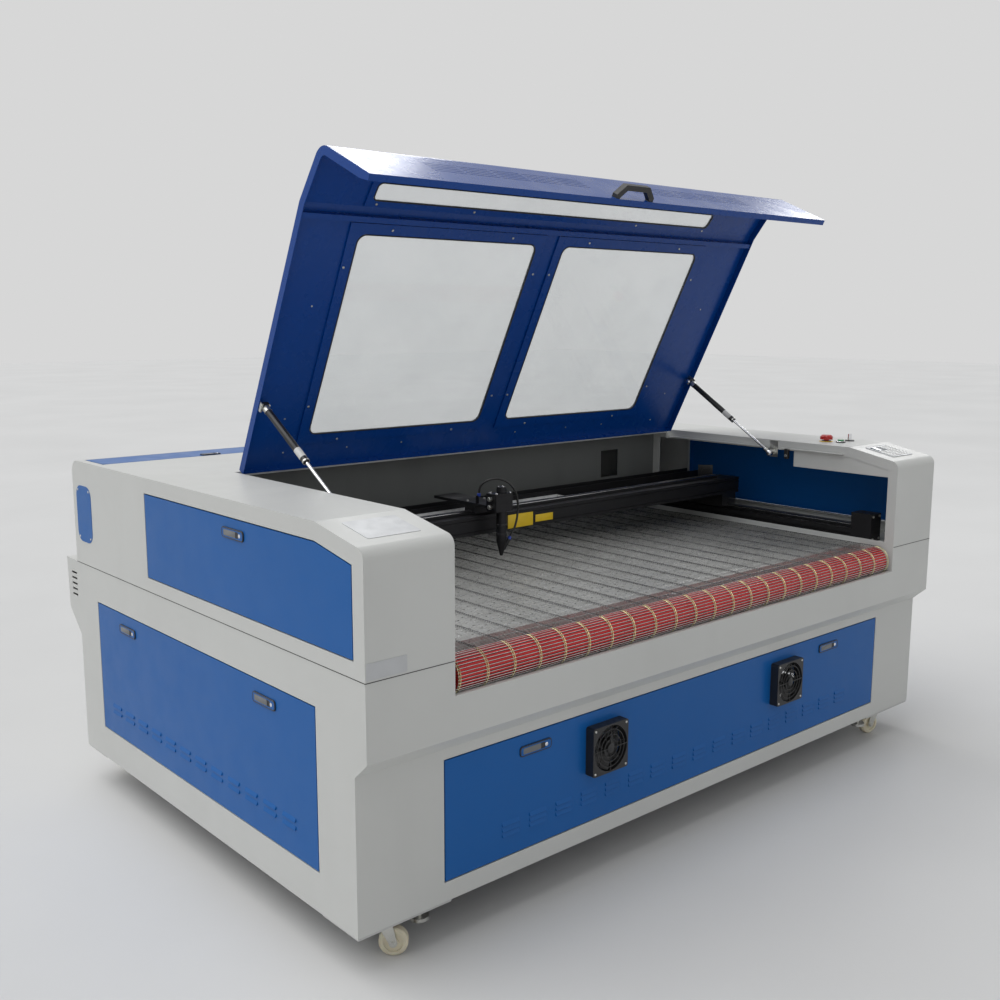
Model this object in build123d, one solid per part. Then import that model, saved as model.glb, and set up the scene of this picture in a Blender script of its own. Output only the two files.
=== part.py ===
from build123d import *
import math
import os

# Carbon dioxide laser engraver with a conveyor bed and a gas-strut lid, shown with the lid open.
# Millimetres. The model is laid out with X = 0 on the centre plane (right positive), Y = 0 on the
# front face (back positive) and Z = 0 on the floor. The finished part is moved along Y at the end,
# so that its origin is under the middle of its overall box.

# Housing
WIDTH = 2150.0
DEPTH = 1430.0
GROUND_CLEARANCE = 95.0
LOWER_HEIGHT = 547.0
UPPER_HEIGHT = 290.0
SHEET = 2.0
CONSOLE_WIDTH = 220.0
FASCIA_HEIGHT = 165.0
FASCIA_SLANT = 38.0
TOE_RECESS = 42.0
LIP_DROP = 75.0
LIP_FLANGE = 10.0
CONSOLE_SLOPE_RUN = 166.0
CONSOLE_SLOPE_DROP = 33.0
FRONT_ROUND = 25.0
REAR_ROUND = 35.0
ARCH_FLANGE = 30.0
ARCH_SILL = 12.0
SEAM_FLANGE = 25.0
RAIL_FLANGE = 64.0
REAR_BOX_DEPTH = 79.0
REAR_BOX_LEAN = 6.0
REAR_BOX_HEIGHT = 148.0
REAR_BOX_SLANT = 69.0
REAR_BOX_RIM = 12.0
VENT_COUNT = 5
VENT_PITCH = 16.0
VENT_LENGTH = 38.0
VENT_HEIGHT = 6.0
VENT_DROP = 42.0
VENT_FRONT = 10.0

# Doors, hinged on pins at their bottom edge
DOOR_FOLD = 14.0
DOOR_REVEAL = 3.0
DOOR_COLLAR = 18.0
HINGE_INSET = 6.0
HINGE_PIN_RADIUS = 3.0
PIN_CLEARANCE = 0.08
PIN_REACH = 1.0
FRONT_DOOR_WIDTH = 1700.0
FRONT_DOOR_RISE = 48.0
FRONT_DOOR_HEIGHT = 270.0
LOWER_DOOR_FRONT = 183.0
LOWER_DOOR_LENGTH = 1111.0
LOWER_DOOR_RISE = 93.0
LOWER_DOOR_HEIGHT = 357.0
UPPER_DOOR_FRONT = 41.0
UPPER_DOOR_LENGTH = 914.0
UPPER_DOOR_RISE = 37.0
UPPER_DOOR_HEIGHT = 211.0
UPPER_DOOR_CUT_RUN = 128.0
UPPER_DOOR_CUT_DROP = 26.0
LATCH_LENGTH = 96.0
LATCH_HEIGHT = 24.0
LATCH_PROUD = 3.0
LATCH_POCKET = 2.0
FRONT_LATCH_OFFSET = 590.0
FRONT_LATCH_DROP = 38.0
LOWER_LATCH_OFFSETS = (203.5, 917.5)
LOWER_LATCH_DROP = 40.0
UPPER_LATCH_OFFSET = 459.0
UPPER_LATCH_DROP = 33.0
LOUVRE_WIDTH = 52.0
LOUVRE_PROUD = 3.5
LOUVRE_RISE = 9.0
LOUVRE_SKIN = 1.2
LOUVRE_SLOT = 6.0
FRONT_LOUVRE_GROUPS = 17
FRONT_LOUVRE_PITCH = 83.0
FRONT_LOUVRE_ROWS = 3
FRONT_LOUVRE_RISE = 47.0
LOUVRE_ROW_PITCH = 13.0
SIDE_LOUVRE_GROUPS = 12
SIDE_LOUVRE_PITCH = 82.0
SIDE_LOUVRE_ROWS = 2
SIDE_LOUVRE_RISE = 60.0
SIDE_LOUVRE_ROW_PITCH = 18.0
SIDE_LOUVRE_START = 112.0

# Small screwed cover on each side and the hinged cover over the laser tube
SIDE_COVER_REAR_INSET = 25.0
SIDE_COVER_LENGTH = 100.0
SIDE_COVER_RISE = 65.0
SIDE_COVER_HEIGHT = 158.0
SIDE_COVER_ROUND = 30.0
TUBE_COVER_REAR_INSET = 42.0
TUBE_COVER_DEPTH = 123.0
TUBE_COVER_MARGIN = 25.0
TUBE_COVER_TAB = 30.0
COVER_LATCH_LENGTH = 58.0
COVER_LATCH_X = -727.0
COVER_LATCH_INSET = 16.0

# Conveyor bed
ROLLER_RADIUS = 40.0
ROLLER_SHAFT_RADIUS = 15.0
ROLLER_SIDE_GAP = 20.0
FRONT_ROLLER_Y = 48.0
REAR_ROLLER_INSET = 30.0
ROLLER_GAP = 0.3
BELT_THICKNESS = 4.0
BELT_SIDE_GAP = 13.0
BELT_RIDGES = 23
BELT_RIDGE_WIDTH = 5.0
BELT_RIDGE_PROUD = 1.0
BELT_GAP_ROWS = 5
BELT_GAP_ANGLE = 22.0
BELT_GAP_OPENING = 7.0
BELT_GAP_MARGIN = 6.0
BED_THICKNESS = 10.0
BED_FRONT = 110.0
BED_REAR_INSET = 90.0
BEARING_SIZE = 60.0
BEARING_WIDTH = 20.0
SHAFT_CLEARANCE = 0.08
SHAFT_HOLE_RADIUS = 19.0
TROUGH_DEPTH = 82.0
BED_LEDGE = 17.0

# Base frame, casters and levelling feet
FRAME_TUBE = 40.0
FRAME_WALL = 2.5
CROSS_TUBE_OFFSET = 360.0
PAD_LENGTH = 240.0
PAD_WIDTH = 130.0
PAD_THICKNESS = 4.0
CASTER_INSET = 102.0
CASTER_FRONT_Y = 100.0
CASTER_REAR_INSET = 58.0
CASTER_TRAIL = 22.0
CASTER_TURNS = {"front_left": 41.0, "front_right": 197.0, "rear_left": -60.0, "rear_right": 160.0}
WHEEL_RADIUS = 31.5
WHEEL_WIDTH = 24.0
WHEEL_HUB_WIDTH = 27.0
WHEEL_HUB_RADIUS = 11.0
WHEEL_DISH_RADIUS = 21.0
WHEEL_DISH = 3.0
WHEEL_BEVEL = 4.0
AXLE_RADIUS = 4.0
FORK_PLATE = 3.0
FORK_CROWN = 9.0
FORK_CROWN_RADIUS = 24.0
FORK_TOP = (-16.0, 19.0)
FORK_TIP_RADIUS = 9.0
AXLE_END = 4.0
KINGPIN_RADIUS = 5.0
KINGPIN_HEAD = 9.0
RUNNING_GAP = 0.3
FOOT_INSET = 197.0
FOOT_RADIUS = 22.0
FOOT_THICKNESS = 8.0
FOOT_CLEARANCE = 45.0
FOOT_STUD_RADIUS = 6.0
FOOT_NUT_RADIUS = 11.0
FOOT_NUT_HEIGHT = 8.0

# Rear ducts
DUCT_RADIUS = 75.0
DUCT_WALL = 1.5
DUCT_LENGTH = 65.0
DUCT_FLANGE_RADIUS = 95.0
DUCT_X = 450.0
DUCT_RISE = 205.0

# Rear housing with the laser tube bay
CHAMBER_REAR = 960.0
LID_GAP = 6.0
BAY_RISE = 48.0
STRIP_LIP = 12.0
GUSSET_OFFSETS = (-560.0, 0.0, 520.0)
BEAM_PORT_X = (580.0, 665.0)
BEAM_PORT_RISE = (135.0, 228.0)
TUBE_RADIUS = 40.0
TUBE_LENGTH = 1650.0
TUBE_RISE = 100.0
TUBE_CAP_RADIUS = 28.0
TUBE_CAP_LENGTH = 60.0
SADDLE_OFFSET = 500.0
SADDLE_LENGTH = 40.0
SADDLE_WIDTH = 120.0

# Lid
LID_SIDE_GAP = 9.0
LID_REAR = 893.0
LID_FRONT = 18.0
LID_FOLD = 21.0
LID_FLAP = 203.0
LID_FLAP_LEAN = 8.0
LID_ROUND = 40.0
LID_HEM = 16.0
LID_HEM_BEVEL = 60.0
LID_OPEN_ANGLE = 63.3
HINGE_RISE = 6.0
WINDOW_CENTRE = -30.0
WINDOW_WIDTH = 590.0
WINDOW_LENGTH = 565.0
WINDOW_START = 95.0
WINDOW_SPACING = 690.0
WINDOW_ROUND = 25.0
NARROW_WINDOW_WIDTH = 1256.0
NARROW_WINDOW_LENGTH = 52.0
NARROW_WINDOW_START = 19.0
NARROW_WINDOW_ROUND = 14.0
GLASS_THICKNESS = 3.0
GLASS_LAP = 12.0
RETAINER_WIDTH = 27.0
RETAINER_THICKNESS = 2.0
NARROW_RETAINER_WIDTH = 16.0
LID_RIB_Y = 186.0
LID_RIB_WIDTH = 14.0
LID_RIB_DEPTH = 16.0
HANDLE_X = -22.0
HANDLE_WIDTH = 140.0
HANDLE_REACH = 36.0
HANDLE_BAR = 14.0
HANDLE_BEVEL = 26.0
HANDLE_HEIGHT = 16.0
HANDLE_DROP = 192.0
SLIT_GROUP_STARTS = (-620.0, 50.0)
SLIT_COLUMNS = 5
SLIT_PITCH = 102.0
SLIT_LENGTH = 94.0
SLIT_ROWS = 5
SLIT_ROW_PITCH = 13.0
SLIT_DROP = 75.0
SLIT_HEIGHT = 2.5
BUTT_OFFSETS = (-700.0, -250.0, 250.0, 700.0)
BUTT_WIDTH = 60.0
BUTT_LENGTH = 32.0
BUTT_THICKNESS = 2.0
BUTT_KNUCKLE = 24.0
BUTT_BARREL_RADIUS = 5.0
BUTT_PIN_RADIUS = 2.5
BUTT_CLEARANCE = 1.0
LEDGE_WIDTH = 10.0
LEDGE_CLEARANCE = 2.0
LEDGE_SPANS = ((185.0, 410.0), (470.0, 880.0))

# Gas struts
STRUT_LOW_Y = 440.0
STRUT_LOW_DROP = 40.0
STRUT_HIGH_REACH = 202.0
STRUT_HIGH_DEPTH = 22.0
STRUT_TUBE_RADIUS = 9.0
STRUT_TUBE_LENGTH = 225.0
STRUT_TUBE_BLIND = 40.0
STRUT_ROD_RADIUS = 4.0
STRUT_ROD_OVERLAP = 22.0
STRUT_EYE_RADIUS = 10.0
STRUT_EYE_WIDTH = 10.0
STRUT_SOCKET_WIDTH = 19.0
STRUT_STUD_RADIUS = 4.0
STRUT_PLATE_WIDTH = 30.0
STRUT_PLATE = 4.0
STRUT_EAR_WIDTH = 24.0
STRUT_SIDE_GAP = 0.3
STRUT_STUD_ENTRY = 2.0

# Gantry
RAIL_OFFSET = 33.0
RAIL_WIDTH = 55.0
RAIL_HEIGHT = 34.0
RAIL_REAR_GAP = 10.0
GUIDE_WIDTH = 15.0
GUIDE_HEIGHT = 12.0
IDLER_FRONT = 80.0
IDLER_LENGTH = 70.0
IDLER_HEIGHT = 86.0
IDLER_WALL = 12.0
IDLER_FLANGE = 14.0
IDLER_WEB = 4.0
SLOT_WIDTH = 8.0
SLOT_DEPTH = 6.0
BEAM_FRONT = 620.0
BEAM_RISE = 43.0
BEAM_HEIGHT = 52.0
BEAM_DEPTH = 80.0
BEAM_OVERHANG = 60.0
BEAM_GUIDE_INSET = 20.0
BEAM_WALL = 10.0
BEAM_SIDE_WALL = 14.0
BEAM_SLOT = 3.0
BEAM_SHELF = 90.0
BEAM_SHELF_THICKNESS = 15.0
BEAM_SHELF_RISE = 12.0
TRAY_DEPTH = 60.0
TRAY_WALL = 3.0
TRAY_HEIGHT = 32.0
CARRIAGE_FRONT = 640.0
CARRIAGE_LENGTH = 150.0
CARRIAGE_WIDTH = 75.0
MIRROR_HEIGHT = 56.0
MIRROR_SIZE = 50.0
MIRROR_PLATE = 12.0
MIRROR_GLASS_RADIUS = 15.0
MIRROR_GLASS = 3.0
CHAIN_LINKS = 24
CHAIN_PITCH = 25.0
CHAIN_WIDTH = 36.0
CHAIN_HEIGHT = 20.0
CHAIN_GAP = 6.0
CHAIN_WAIST = 3.0
CHAIN_WAIST_DROP = 2.0

# Laser head
HEAD_X = -224.0
HEAD_BLOCK_WIDTH = 60.0
HEAD_BLOCK_DEPTH = 42.0
HEAD_BLOCK_HEIGHT = 49.0
HEAD_BLOCK_RISE = 18.0
HEAD_BLOCK_SHIFT = 37.2
HEAD_TUBE_Y = 572.0
LENS_TUBE_RADIUS = 14.0
LENS_TUBE_CLEARANCE = 0.1
LENS_TUBE_RISE = 79.0
LENS_TUBE_STANDOUT = 12.0
NOZZLE_LENGTH = 44.0
NOZZLE_TIP_RADIUS = 4.0
SLIDER_WIDTH = 80.0
SLIDER_DEPTH = 44.0
SLIDER_HEIGHT = 14.0
ARM_THICKNESS = 8.0
HOSE_RADIUS = 3.0
HOSE_FITTING_RADIUS = 5.0
HOSE_FITTING_LENGTH = 36.0
HOSE_CLIP = (-30.0, 60.0)
HOSE_CLIP_HEIGHT = 22.0

# Front fans
FAN_OFFSET = 367.0
FAN_RISE = 178.0
FAN_SIZE = 120.0
FAN_DEPTH = 25.0
FAN_BORE = 56.0
FAN_CORNER = 6.0
FAN_HUB_RADIUS = 20.0
FAN_HUB_LENGTH = 14.0
FAN_BLADES = 7
FAN_BLADE_ANGLE = 38.0
FAN_TIP_GAP = 2.0
FAN_PIN_RADIUS = 3.0
FAN_SPIDER = 3.0
FAN_ARM = 6.0
FAN_ARM_LAP = 2.0
FAN_GUARD = 2.0
FAN_GUARD_GAP = 2.0
FAN_BLADE_WIDTH = 20.0
FAN_BLADE = 1.6
FAN_GUARD_RINGS = (22.0, 34.0, 46.0)

# Controls on the right console and blank plates
ESTOP_OFFSET = (-19.0, 305.0)
BUTTON_OFFSET = (-10.0, 258.0)
KEY_OFFSET = (51.0, 263.0)
COLLAR_RADIUS = 15.0
COLLAR_HEIGHT = 3.0
PLUNGER_RADIUS = 8.0
PLUNGER_CLEARANCE = 0.08
PLUNGER_LENGTH = 24.0
ESTOP_HEAD_RADIUS = 20.0
ESTOP_HEAD_HEIGHT = 14.0
ESTOP_BEVEL = 5.0
ESTOP_TRAVEL = 4.0
BUTTON_HEAD_RADIUS = 10.0
BUTTON_HEAD_HEIGHT = 4.0
BUTTON_TRAVEL = 2.0
KEY_HEIGHT = 20.0
KEY_WIDTH = 18.0
KEY_THICKNESS = 3.0
KEY_BARREL_RISE = 2.0
TRAY_PANEL_FRONT = 25.0
TRAY_PANEL_LENGTH = 340.0
TRAY_PANEL_DEPTH = 80.0
TRAY_PANEL_GAP = 2.0
PLATE_THICKNESS = 1.0
PLATE_ROUND = 6.0
SLOPE_PLATE = (130.0, 95.0)
KEYPAD = (112.0, 100.0)
SLOPE_PLATE_SHIFT = 12.0
FRONT_PLATE = (97.0, 34.0)
FRONT_PLATE_ROUND = 2.0
FRONT_PLATE_INSET = 50.5
FRONT_PLATE_RISE = 21.0

# Places that follow from the sizes above
HALF = WIDTH / 2
SEAM = GROUND_CLEARANCE + LOWER_HEIGHT
TOP = SEAM + UPPER_HEIGHT
INNER = HALF - CONSOLE_WIDTH
LIP = SEAM - LIP_DROP
FASCIA_BOTTOM = SEAM - FASCIA_HEIGHT
FRONT_CORNER = TOP - CONSOLE_SLOPE_DROP
SLOPE_ANGLE = math.degrees(math.atan2(CONSOLE_SLOPE_DROP, CONSOLE_SLOPE_RUN))
CONSOLE_MIDDLE = (HALF + INNER) / 2
REAR_MOST = DEPTH + REAR_BOX_DEPTH
REAR_ROLLER_Y = DEPTH - REAR_ROLLER_INSET
BED_REAR = DEPTH - BED_REAR_INSET
CASTER_X = HALF - CASTER_INSET
CASTER_REAR_Y = DEPTH - CASTER_REAR_INSET
FOOT_X = HALF - FOOT_INSET
DUCT_Z = GROUND_CLEARANCE + DUCT_RISE
BELT_TOP = SEAM
BELT_OUTER = ROLLER_RADIUS + ROLLER_GAP + BELT_THICKNESS
ROLLER_Z = BELT_TOP - BELT_OUTER
BED_TOP = BELT_TOP - BELT_THICKNESS
TROUGH_BOTTOM = SEAM - TROUGH_DEPTH
STRIP_FRONT = LID_REAR + LID_GAP
HINGE_Y = LID_REAR + LID_GAP / 2
HINGE_Z = TOP + HINGE_RISE
LID_HALF = INNER - LID_SIDE_GAP
LID_CORNER = FRONT_CORNER + CONSOLE_SLOPE_DROP * LID_FRONT / CONSOLE_SLOPE_RUN
LID_BOTTOM = LID_CORNER - LID_FLAP
FLAP_ANGLE = math.degrees(math.atan2(LID_FLAP_LEAN, LID_FLAP))
STRUT_EAR_X = LID_HALF - SHEET
STRUT_X = STRUT_EAR_X - STRUT_PLATE - STRUT_SIDE_GAP - STRUT_SOCKET_WIDTH / 2
STRUT_LOW_Z = TOP - STRUT_LOW_DROP
TUBE_COVER_HALF = HALF - TUBE_COVER_MARGIN
TUBE_COVER_REAR = DEPTH - TUBE_COVER_REAR_INSET
TUBE_COVER_FRONT = TUBE_COVER_REAR - TUBE_COVER_DEPTH
BAY_FLOOR = SEAM + BAY_RISE
TUBE_Y = TUBE_COVER_REAR - TUBE_COVER_DEPTH / 2
TUBE_Z = BAY_FLOOR + TUBE_RISE
RAIL_X = INNER + RAIL_OFFSET
RAIL_REAR = CHAMBER_REAR - RAIL_REAR_GAP
RAIL_SEAT = SEAM + SHEET
GUIDE_TOP = RAIL_SEAT + RAIL_HEIGHT + GUIDE_HEIGHT
BEAM_BOTTOM = GUIDE_TOP + BEAM_RISE
BEAM_TOP = BEAM_BOTTOM + BEAM_HEIGHT
BEAM_REAR = BEAM_FRONT + BEAM_DEPTH
SHELF_REAR = BEAM_REAR + BEAM_SHELF
SHELF_BOTTOM = BEAM_BOTTOM + BEAM_SHELF_RISE
SHELF_TOP = SHELF_BOTTOM + BEAM_SHELF_THICKNESS
HEAD_BLOCK_BOTTOM = BEAM_TOP + HEAD_BLOCK_RISE
LENS_TUBE_BOTTOM = SEAM + LENS_TUBE_RISE
LENS_TUBE_TOP = HEAD_BLOCK_BOTTOM + HEAD_BLOCK_HEIGHT + LENS_TUBE_STANDOUT
FRONT_DOOR_BOTTOM = GROUND_CLEARANCE + FRONT_DOOR_RISE
LOWER_DOOR_BOTTOM = GROUND_CLEARANCE + LOWER_DOOR_RISE
UPPER_DOOR_BOTTOM = SEAM + UPPER_DOOR_RISE
SIDE_COVER_BOTTOM = SEAM + SIDE_COVER_RISE
SIDE_COVER_FRONT = DEPTH - SIDE_COVER_REAR_INSET - SIDE_COVER_LENGTH
ESTOP_PLACE = (CONSOLE_MIDDLE + ESTOP_OFFSET[0], ESTOP_OFFSET[1])
BUTTON_PLACE = (CONSOLE_MIDDLE + BUTTON_OFFSET[0], BUTTON_OFFSET[1])
KEY_PLACE = (CONSOLE_MIDDLE + KEY_OFFSET[0], KEY_OFFSET[1])
FRONT_DOOR_TOP = FRONT_DOOR_BOTTOM + FRONT_DOOR_HEIGHT
PAD_BOTTOM = GROUND_CLEARANCE - PAD_THICKNESS
FRONT_MOST = -PLATE_THICKNESS
MIDDLE_Y = (FRONT_MOST + REAR_MOST) / 2


def block(x, y, z):
    """A box between the low and the high value of each axis."""
    spans = (x, y, z)
    centre = [(low + high) / 2 for low, high in spans]
    return Pos(*centre) * Box(*[high - low for low, high in spans])


def outline(points):
    """A flat face with straight edges through the points."""
    return make_face(Polyline(*points, close=True))


def round_corner(face, point, radius):
    """The face with its corner nearest to the point rounded."""
    corner = face.vertices().sort_by_distance((*point, 0))[0]
    return fillet(corner, radius)


def grown(face, amount):
    """The face with every edge moved out by the amount, or in where it is negative."""
    return offset(face, amount, kind=Kind.INTERSECTION)


def prism_x(face, low, high):
    """The (y, z) face carried from one x to another."""
    return extrude(Plane.YZ.offset(low) * face, high - low)


def prism_y(face, low, high):
    """The (x, z) face carried from one y to another."""
    return extrude(Plane.XZ.offset(-high) * face, high - low)


def prism_z(face, low, high):
    """The (x, y) face carried from one z to another."""
    return extrude(Plane.XY.offset(low) * face, high - low)


def bar_x(y, z, radius, low, high):
    return prism_x(Pos(y, z) * Circle(radius), low, high)


def bar_y(x, z, radius, low, high):
    return prism_y(Pos(x, z) * Circle(radius), low, high)


def bar_z(x, y, radius, low, high):
    return prism_z(Pos(x, y) * Circle(radius), low, high)


def area(y, z):
    """A flat rectangle between two values of each axis."""
    return Pos((y[0] + y[1]) / 2, (z[0] + z[1]) / 2) * Rectangle(y[1] - y[0], z[1] - z[0])


def mirrored(solid):
    return mirror(solid, about=Plane.YZ)


def on_left_side(leaf):
    """Turns a piece made to face the front, at y = 0, onto the machine's left side."""
    return Pos(-HALF, 0, 0) * Rot(0, 0, -90) * leaf


# Shared outlines in (y, z)

def lower_outline():
    return outline([
        (0, SEAM), (0, FASCIA_BOTTOM), (TOE_RECESS, FASCIA_BOTTOM - FASCIA_SLANT),
        (TOE_RECESS, GROUND_CLEARANCE), (DEPTH, GROUND_CLEARANCE), (DEPTH, SEAM),
    ])


def upper_outline():
    face = outline([
        (0, SEAM), (0, FRONT_CORNER), (CONSOLE_SLOPE_RUN, TOP), (DEPTH, TOP), (DEPTH, SEAM),
    ])
    face = round_corner(face, (0, FRONT_CORNER), FRONT_ROUND)
    return round_corner(face, (DEPTH, TOP), REAR_ROUND)


# Door outlines in (along, z), where a side door's along is minus y

def front_door_outline():
    half = FRONT_DOOR_WIDTH / 2
    return [(-half, FRONT_DOOR_BOTTOM), (half, FRONT_DOOR_BOTTOM),
            (half, FRONT_DOOR_TOP), (-half, FRONT_DOOR_TOP)]


def lower_door_outline():
    front = -LOWER_DOOR_FRONT
    rear = front - LOWER_DOOR_LENGTH
    top = LOWER_DOOR_BOTTOM + LOWER_DOOR_HEIGHT
    return [(rear, LOWER_DOOR_BOTTOM), (front, LOWER_DOOR_BOTTOM), (front, top), (rear, top)]


def upper_door_outline():
    front = -UPPER_DOOR_FRONT
    rear = front - UPPER_DOOR_LENGTH
    top = UPPER_DOOR_BOTTOM + UPPER_DOOR_HEIGHT
    return [(rear, UPPER_DOOR_BOTTOM), (front, UPPER_DOOR_BOTTOM),
            (front, top - UPPER_DOOR_CUT_DROP), (front - UPPER_DOOR_CUT_RUN, top), (rear, top)]


def door_ends(points):
    along = [point[0] for point in points]
    return min(along), max(along), min(point[1] for point in points)


def door_hole(points):
    """The hole that a door leaves in its skin, whose outer face is at y = 0."""
    return prism_y(grown(outline(points), DOOR_REVEAL), -1, SHEET + 1)


def door_collar(points):
    """The folded collar round a door's hole, with the holes for its hinge pins."""
    face = outline(points)
    collar = prism_y(grown(face, DOOR_REVEAL + SHEET), SHEET, DOOR_COLLAR)
    collar -= prism_y(grown(face, DOOR_REVEAL), 0, DOOR_COLLAR + 1)
    low, high, bottom = door_ends(points)
    margin = DOOR_REVEAL + SHEET + 1
    return collar - bar_x(HINGE_INSET, bottom + HINGE_INSET, HINGE_PIN_RADIUS + PIN_CLEARANCE,
                          low - margin, high + margin)


def door_leaf(points):
    """A folded tray that faces the front at y = 0, with a hinge pin at each bottom corner."""
    face = outline(points)
    leaf = prism_y(face, 0, DOOR_FOLD) - prism_y(grown(face, -SHEET), SHEET, DOOR_FOLD + 1)
    low, high, bottom = door_ends(points)
    reach = DOOR_REVEAL + SHEET + PIN_REACH
    for start, end in ((low - reach, low + SHEET), (high - SHEET, high + reach)):
        leaf += bar_x(HINGE_INSET, bottom + HINGE_INSET, HINGE_PIN_RADIUS, start, end)
    return leaf


def with_louvres(leaf, places):
    """The leaf with a pressed hood over a slot at each (along, z) place."""
    half = LOUVRE_WIDTH / 2
    hood = prism_x(outline([(0, 0), (-LOUVRE_PROUD, 0), (0, LOUVRE_RISE)]), -half, half)
    inner = LOUVRE_SKIN - LOUVRE_PROUD
    slot = prism_x(outline([(inner, -1), (inner, 0), (0, LOUVRE_SLOT),
                            (SHEET + 1, LOUVRE_SLOT), (SHEET + 1, -1)]),
                   LOUVRE_SKIN - half, half - LOUVRE_SKIN)
    leaf = leaf + [Pos(x, 0, z) * hood for x, z in places]
    return leaf - [Pos(x, 0, z) * slot for x, z in places]


def latch(x, z, length=LATCH_LENGTH):
    """A paddle latch: a thin body with a pocket, on the outer face of a leaf."""
    body = prism_y(RectangleRounded(length, LATCH_HEIGHT, LATCH_HEIGHT / 3), -LATCH_PROUD, 0)
    pocket = RectangleRounded(length * 0.6, LATCH_HEIGHT * 0.6, LATCH_HEIGHT / 5)
    body -= prism_y(pocket, -LATCH_PROUD - 1, LATCH_POCKET - LATCH_PROUD)
    return Pos(x, 0, z) * body


# Lower body

def base_frame():
    """A welded ring of square tube with cross tubes, and a plate under each end for casters."""
    x_outer = HALF - SHEET
    y_front = TOE_RECESS + SHEET
    y_rear = DEPTH - SHEET
    z = (GROUND_CLEARANCE, GROUND_CLEARANCE + FRAME_TUBE)
    z_hollow = (z[0] + FRAME_WALL, z[1] - FRAME_WALL)
    frame = block((-x_outer, x_outer), (y_front, y_rear), z)
    frame -= block((FRAME_TUBE - x_outer, x_outer - FRAME_TUBE),
                   (y_front + FRAME_TUBE, y_rear - FRAME_TUBE), (z[0] - 1, z[1] + 1))
    y_inside = (y_front + FRAME_TUBE, y_rear - FRAME_TUBE)
    for x in (-CROSS_TUBE_OFFSET, CROSS_TUBE_OFFSET):
        frame += block((x - FRAME_TUBE / 2, x + FRAME_TUBE / 2), y_inside, z)
    for y in (y_front, y_rear - FRAME_TUBE):
        frame -= block((-x_outer - 1, x_outer + 1), (y + FRAME_WALL, y + FRAME_TUBE - FRAME_WALL),
                       z_hollow)
    for sign in (-1, 1):
        x_pad = sorted((sign * x_outer, sign * (x_outer - PAD_LENGTH)))
        for y_pad in ((y_front, y_front + PAD_WIDTH), (y_rear - PAD_WIDTH, y_rear)):
            frame += block(x_pad, y_pad, (PAD_BOTTOM, GROUND_CLEARANCE))
    for x, y in caster_places().values():
        frame += kingpin(x, y)
    return frame


def caster_places():
    return {
        "front_left": (-CASTER_X, CASTER_FRONT_Y), "front_right": (CASTER_X, CASTER_FRONT_Y),
        "rear_left": (-CASTER_X, CASTER_REAR_Y), "rear_right": (CASTER_X, CASTER_REAR_Y),
    }


def kingpin(x, y):
    """The headed pin under the frame that a caster's fork turns on."""
    head_top = PAD_BOTTOM - RUNNING_GAP - FORK_CROWN - RUNNING_GAP
    pin = bar_z(x, y, KINGPIN_RADIUS, head_top, PAD_BOTTOM)
    return pin + bar_z(x, y, KINGPIN_HEAD, head_top - FORK_PLATE, head_top)


def front_skin():
    face = lower_outline() - grown(lower_outline(), -SHEET)
    face &= area((-1, TOE_RECESS + SHEET), (GROUND_CLEARANCE + SHEET, SEAM))
    face -= area((SHEET, TOE_RECESS + SHEET + 1), (SEAM - SHEET - 1, SEAM + 1))
    edge = HALF - SHEET
    skin = prism_x(face, -edge, edge)
    skin -= block((-INNER, INNER), (-1, SHEET + 1), (LIP, SEAM + 1))
    skin += block((-INNER, INNER), (SHEET, SHEET + LIP_FLANGE), (LIP - SHEET, LIP))
    door = front_door_outline()
    skin -= Pos(0, TOE_RECESS, 0) * door_hole(door)
    return skin + Pos(0, TOE_RECESS, 0) * door_collar(door)


def left_skin():
    """A side wall with the shelf under its console and the wall and ledge of the bed trough."""
    skin = prism_x(lower_outline(), -HALF, SHEET - HALF)
    door = lower_door_outline()
    skin -= on_left_side(door_hole(door))
    skin += on_left_side(door_collar(door))
    y = (SHEET, DEPTH - SHEET)
    skin += block((SHEET - HALF, -INNER), y, (SEAM - SHEET, SEAM))
    skin += block((-INNER - SHEET, -INNER), y, (TROUGH_BOTTOM, SEAM - SHEET))
    skin += block((-INNER, BED_LEDGE - INNER), (BED_FRONT, BED_REAR),
                  (BED_TOP - BED_THICKNESS - SHEET, BED_TOP - BED_THICKNESS))
    for y_roller in (FRONT_ROLLER_Y, REAR_ROLLER_Y):
        skin -= bar_x(y_roller, ROLLER_Z, SHAFT_HOLE_RADIUS, -INNER - SHEET - 1, 1 - INNER)
    return skin


def rear_skin():
    edge = HALF - SHEET
    skin = block((-edge, edge), (DEPTH - SHEET, DEPTH), (GROUND_CLEARANCE, SEAM))
    skin -= block((-INNER, INNER), (DEPTH - SHEET - 1, DEPTH + 1),
                  (ROLLER_Z - BELT_OUTER - SHEET, SEAM + 1))
    for x in (-DUCT_X, DUCT_X):
        skin -= bar_y(x, DUCT_Z, DUCT_RADIUS - DUCT_WALL, DEPTH - SHEET - 1, DEPTH + 1)
    return skin


def rear_box_outline():
    knee = SEAM - REAR_BOX_HEIGHT
    return outline([(DEPTH, SEAM), (REAR_MOST, SEAM), (REAR_MOST - REAR_BOX_LEAN, knee),
                    (DEPTH, knee - REAR_BOX_SLANT)])


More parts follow.
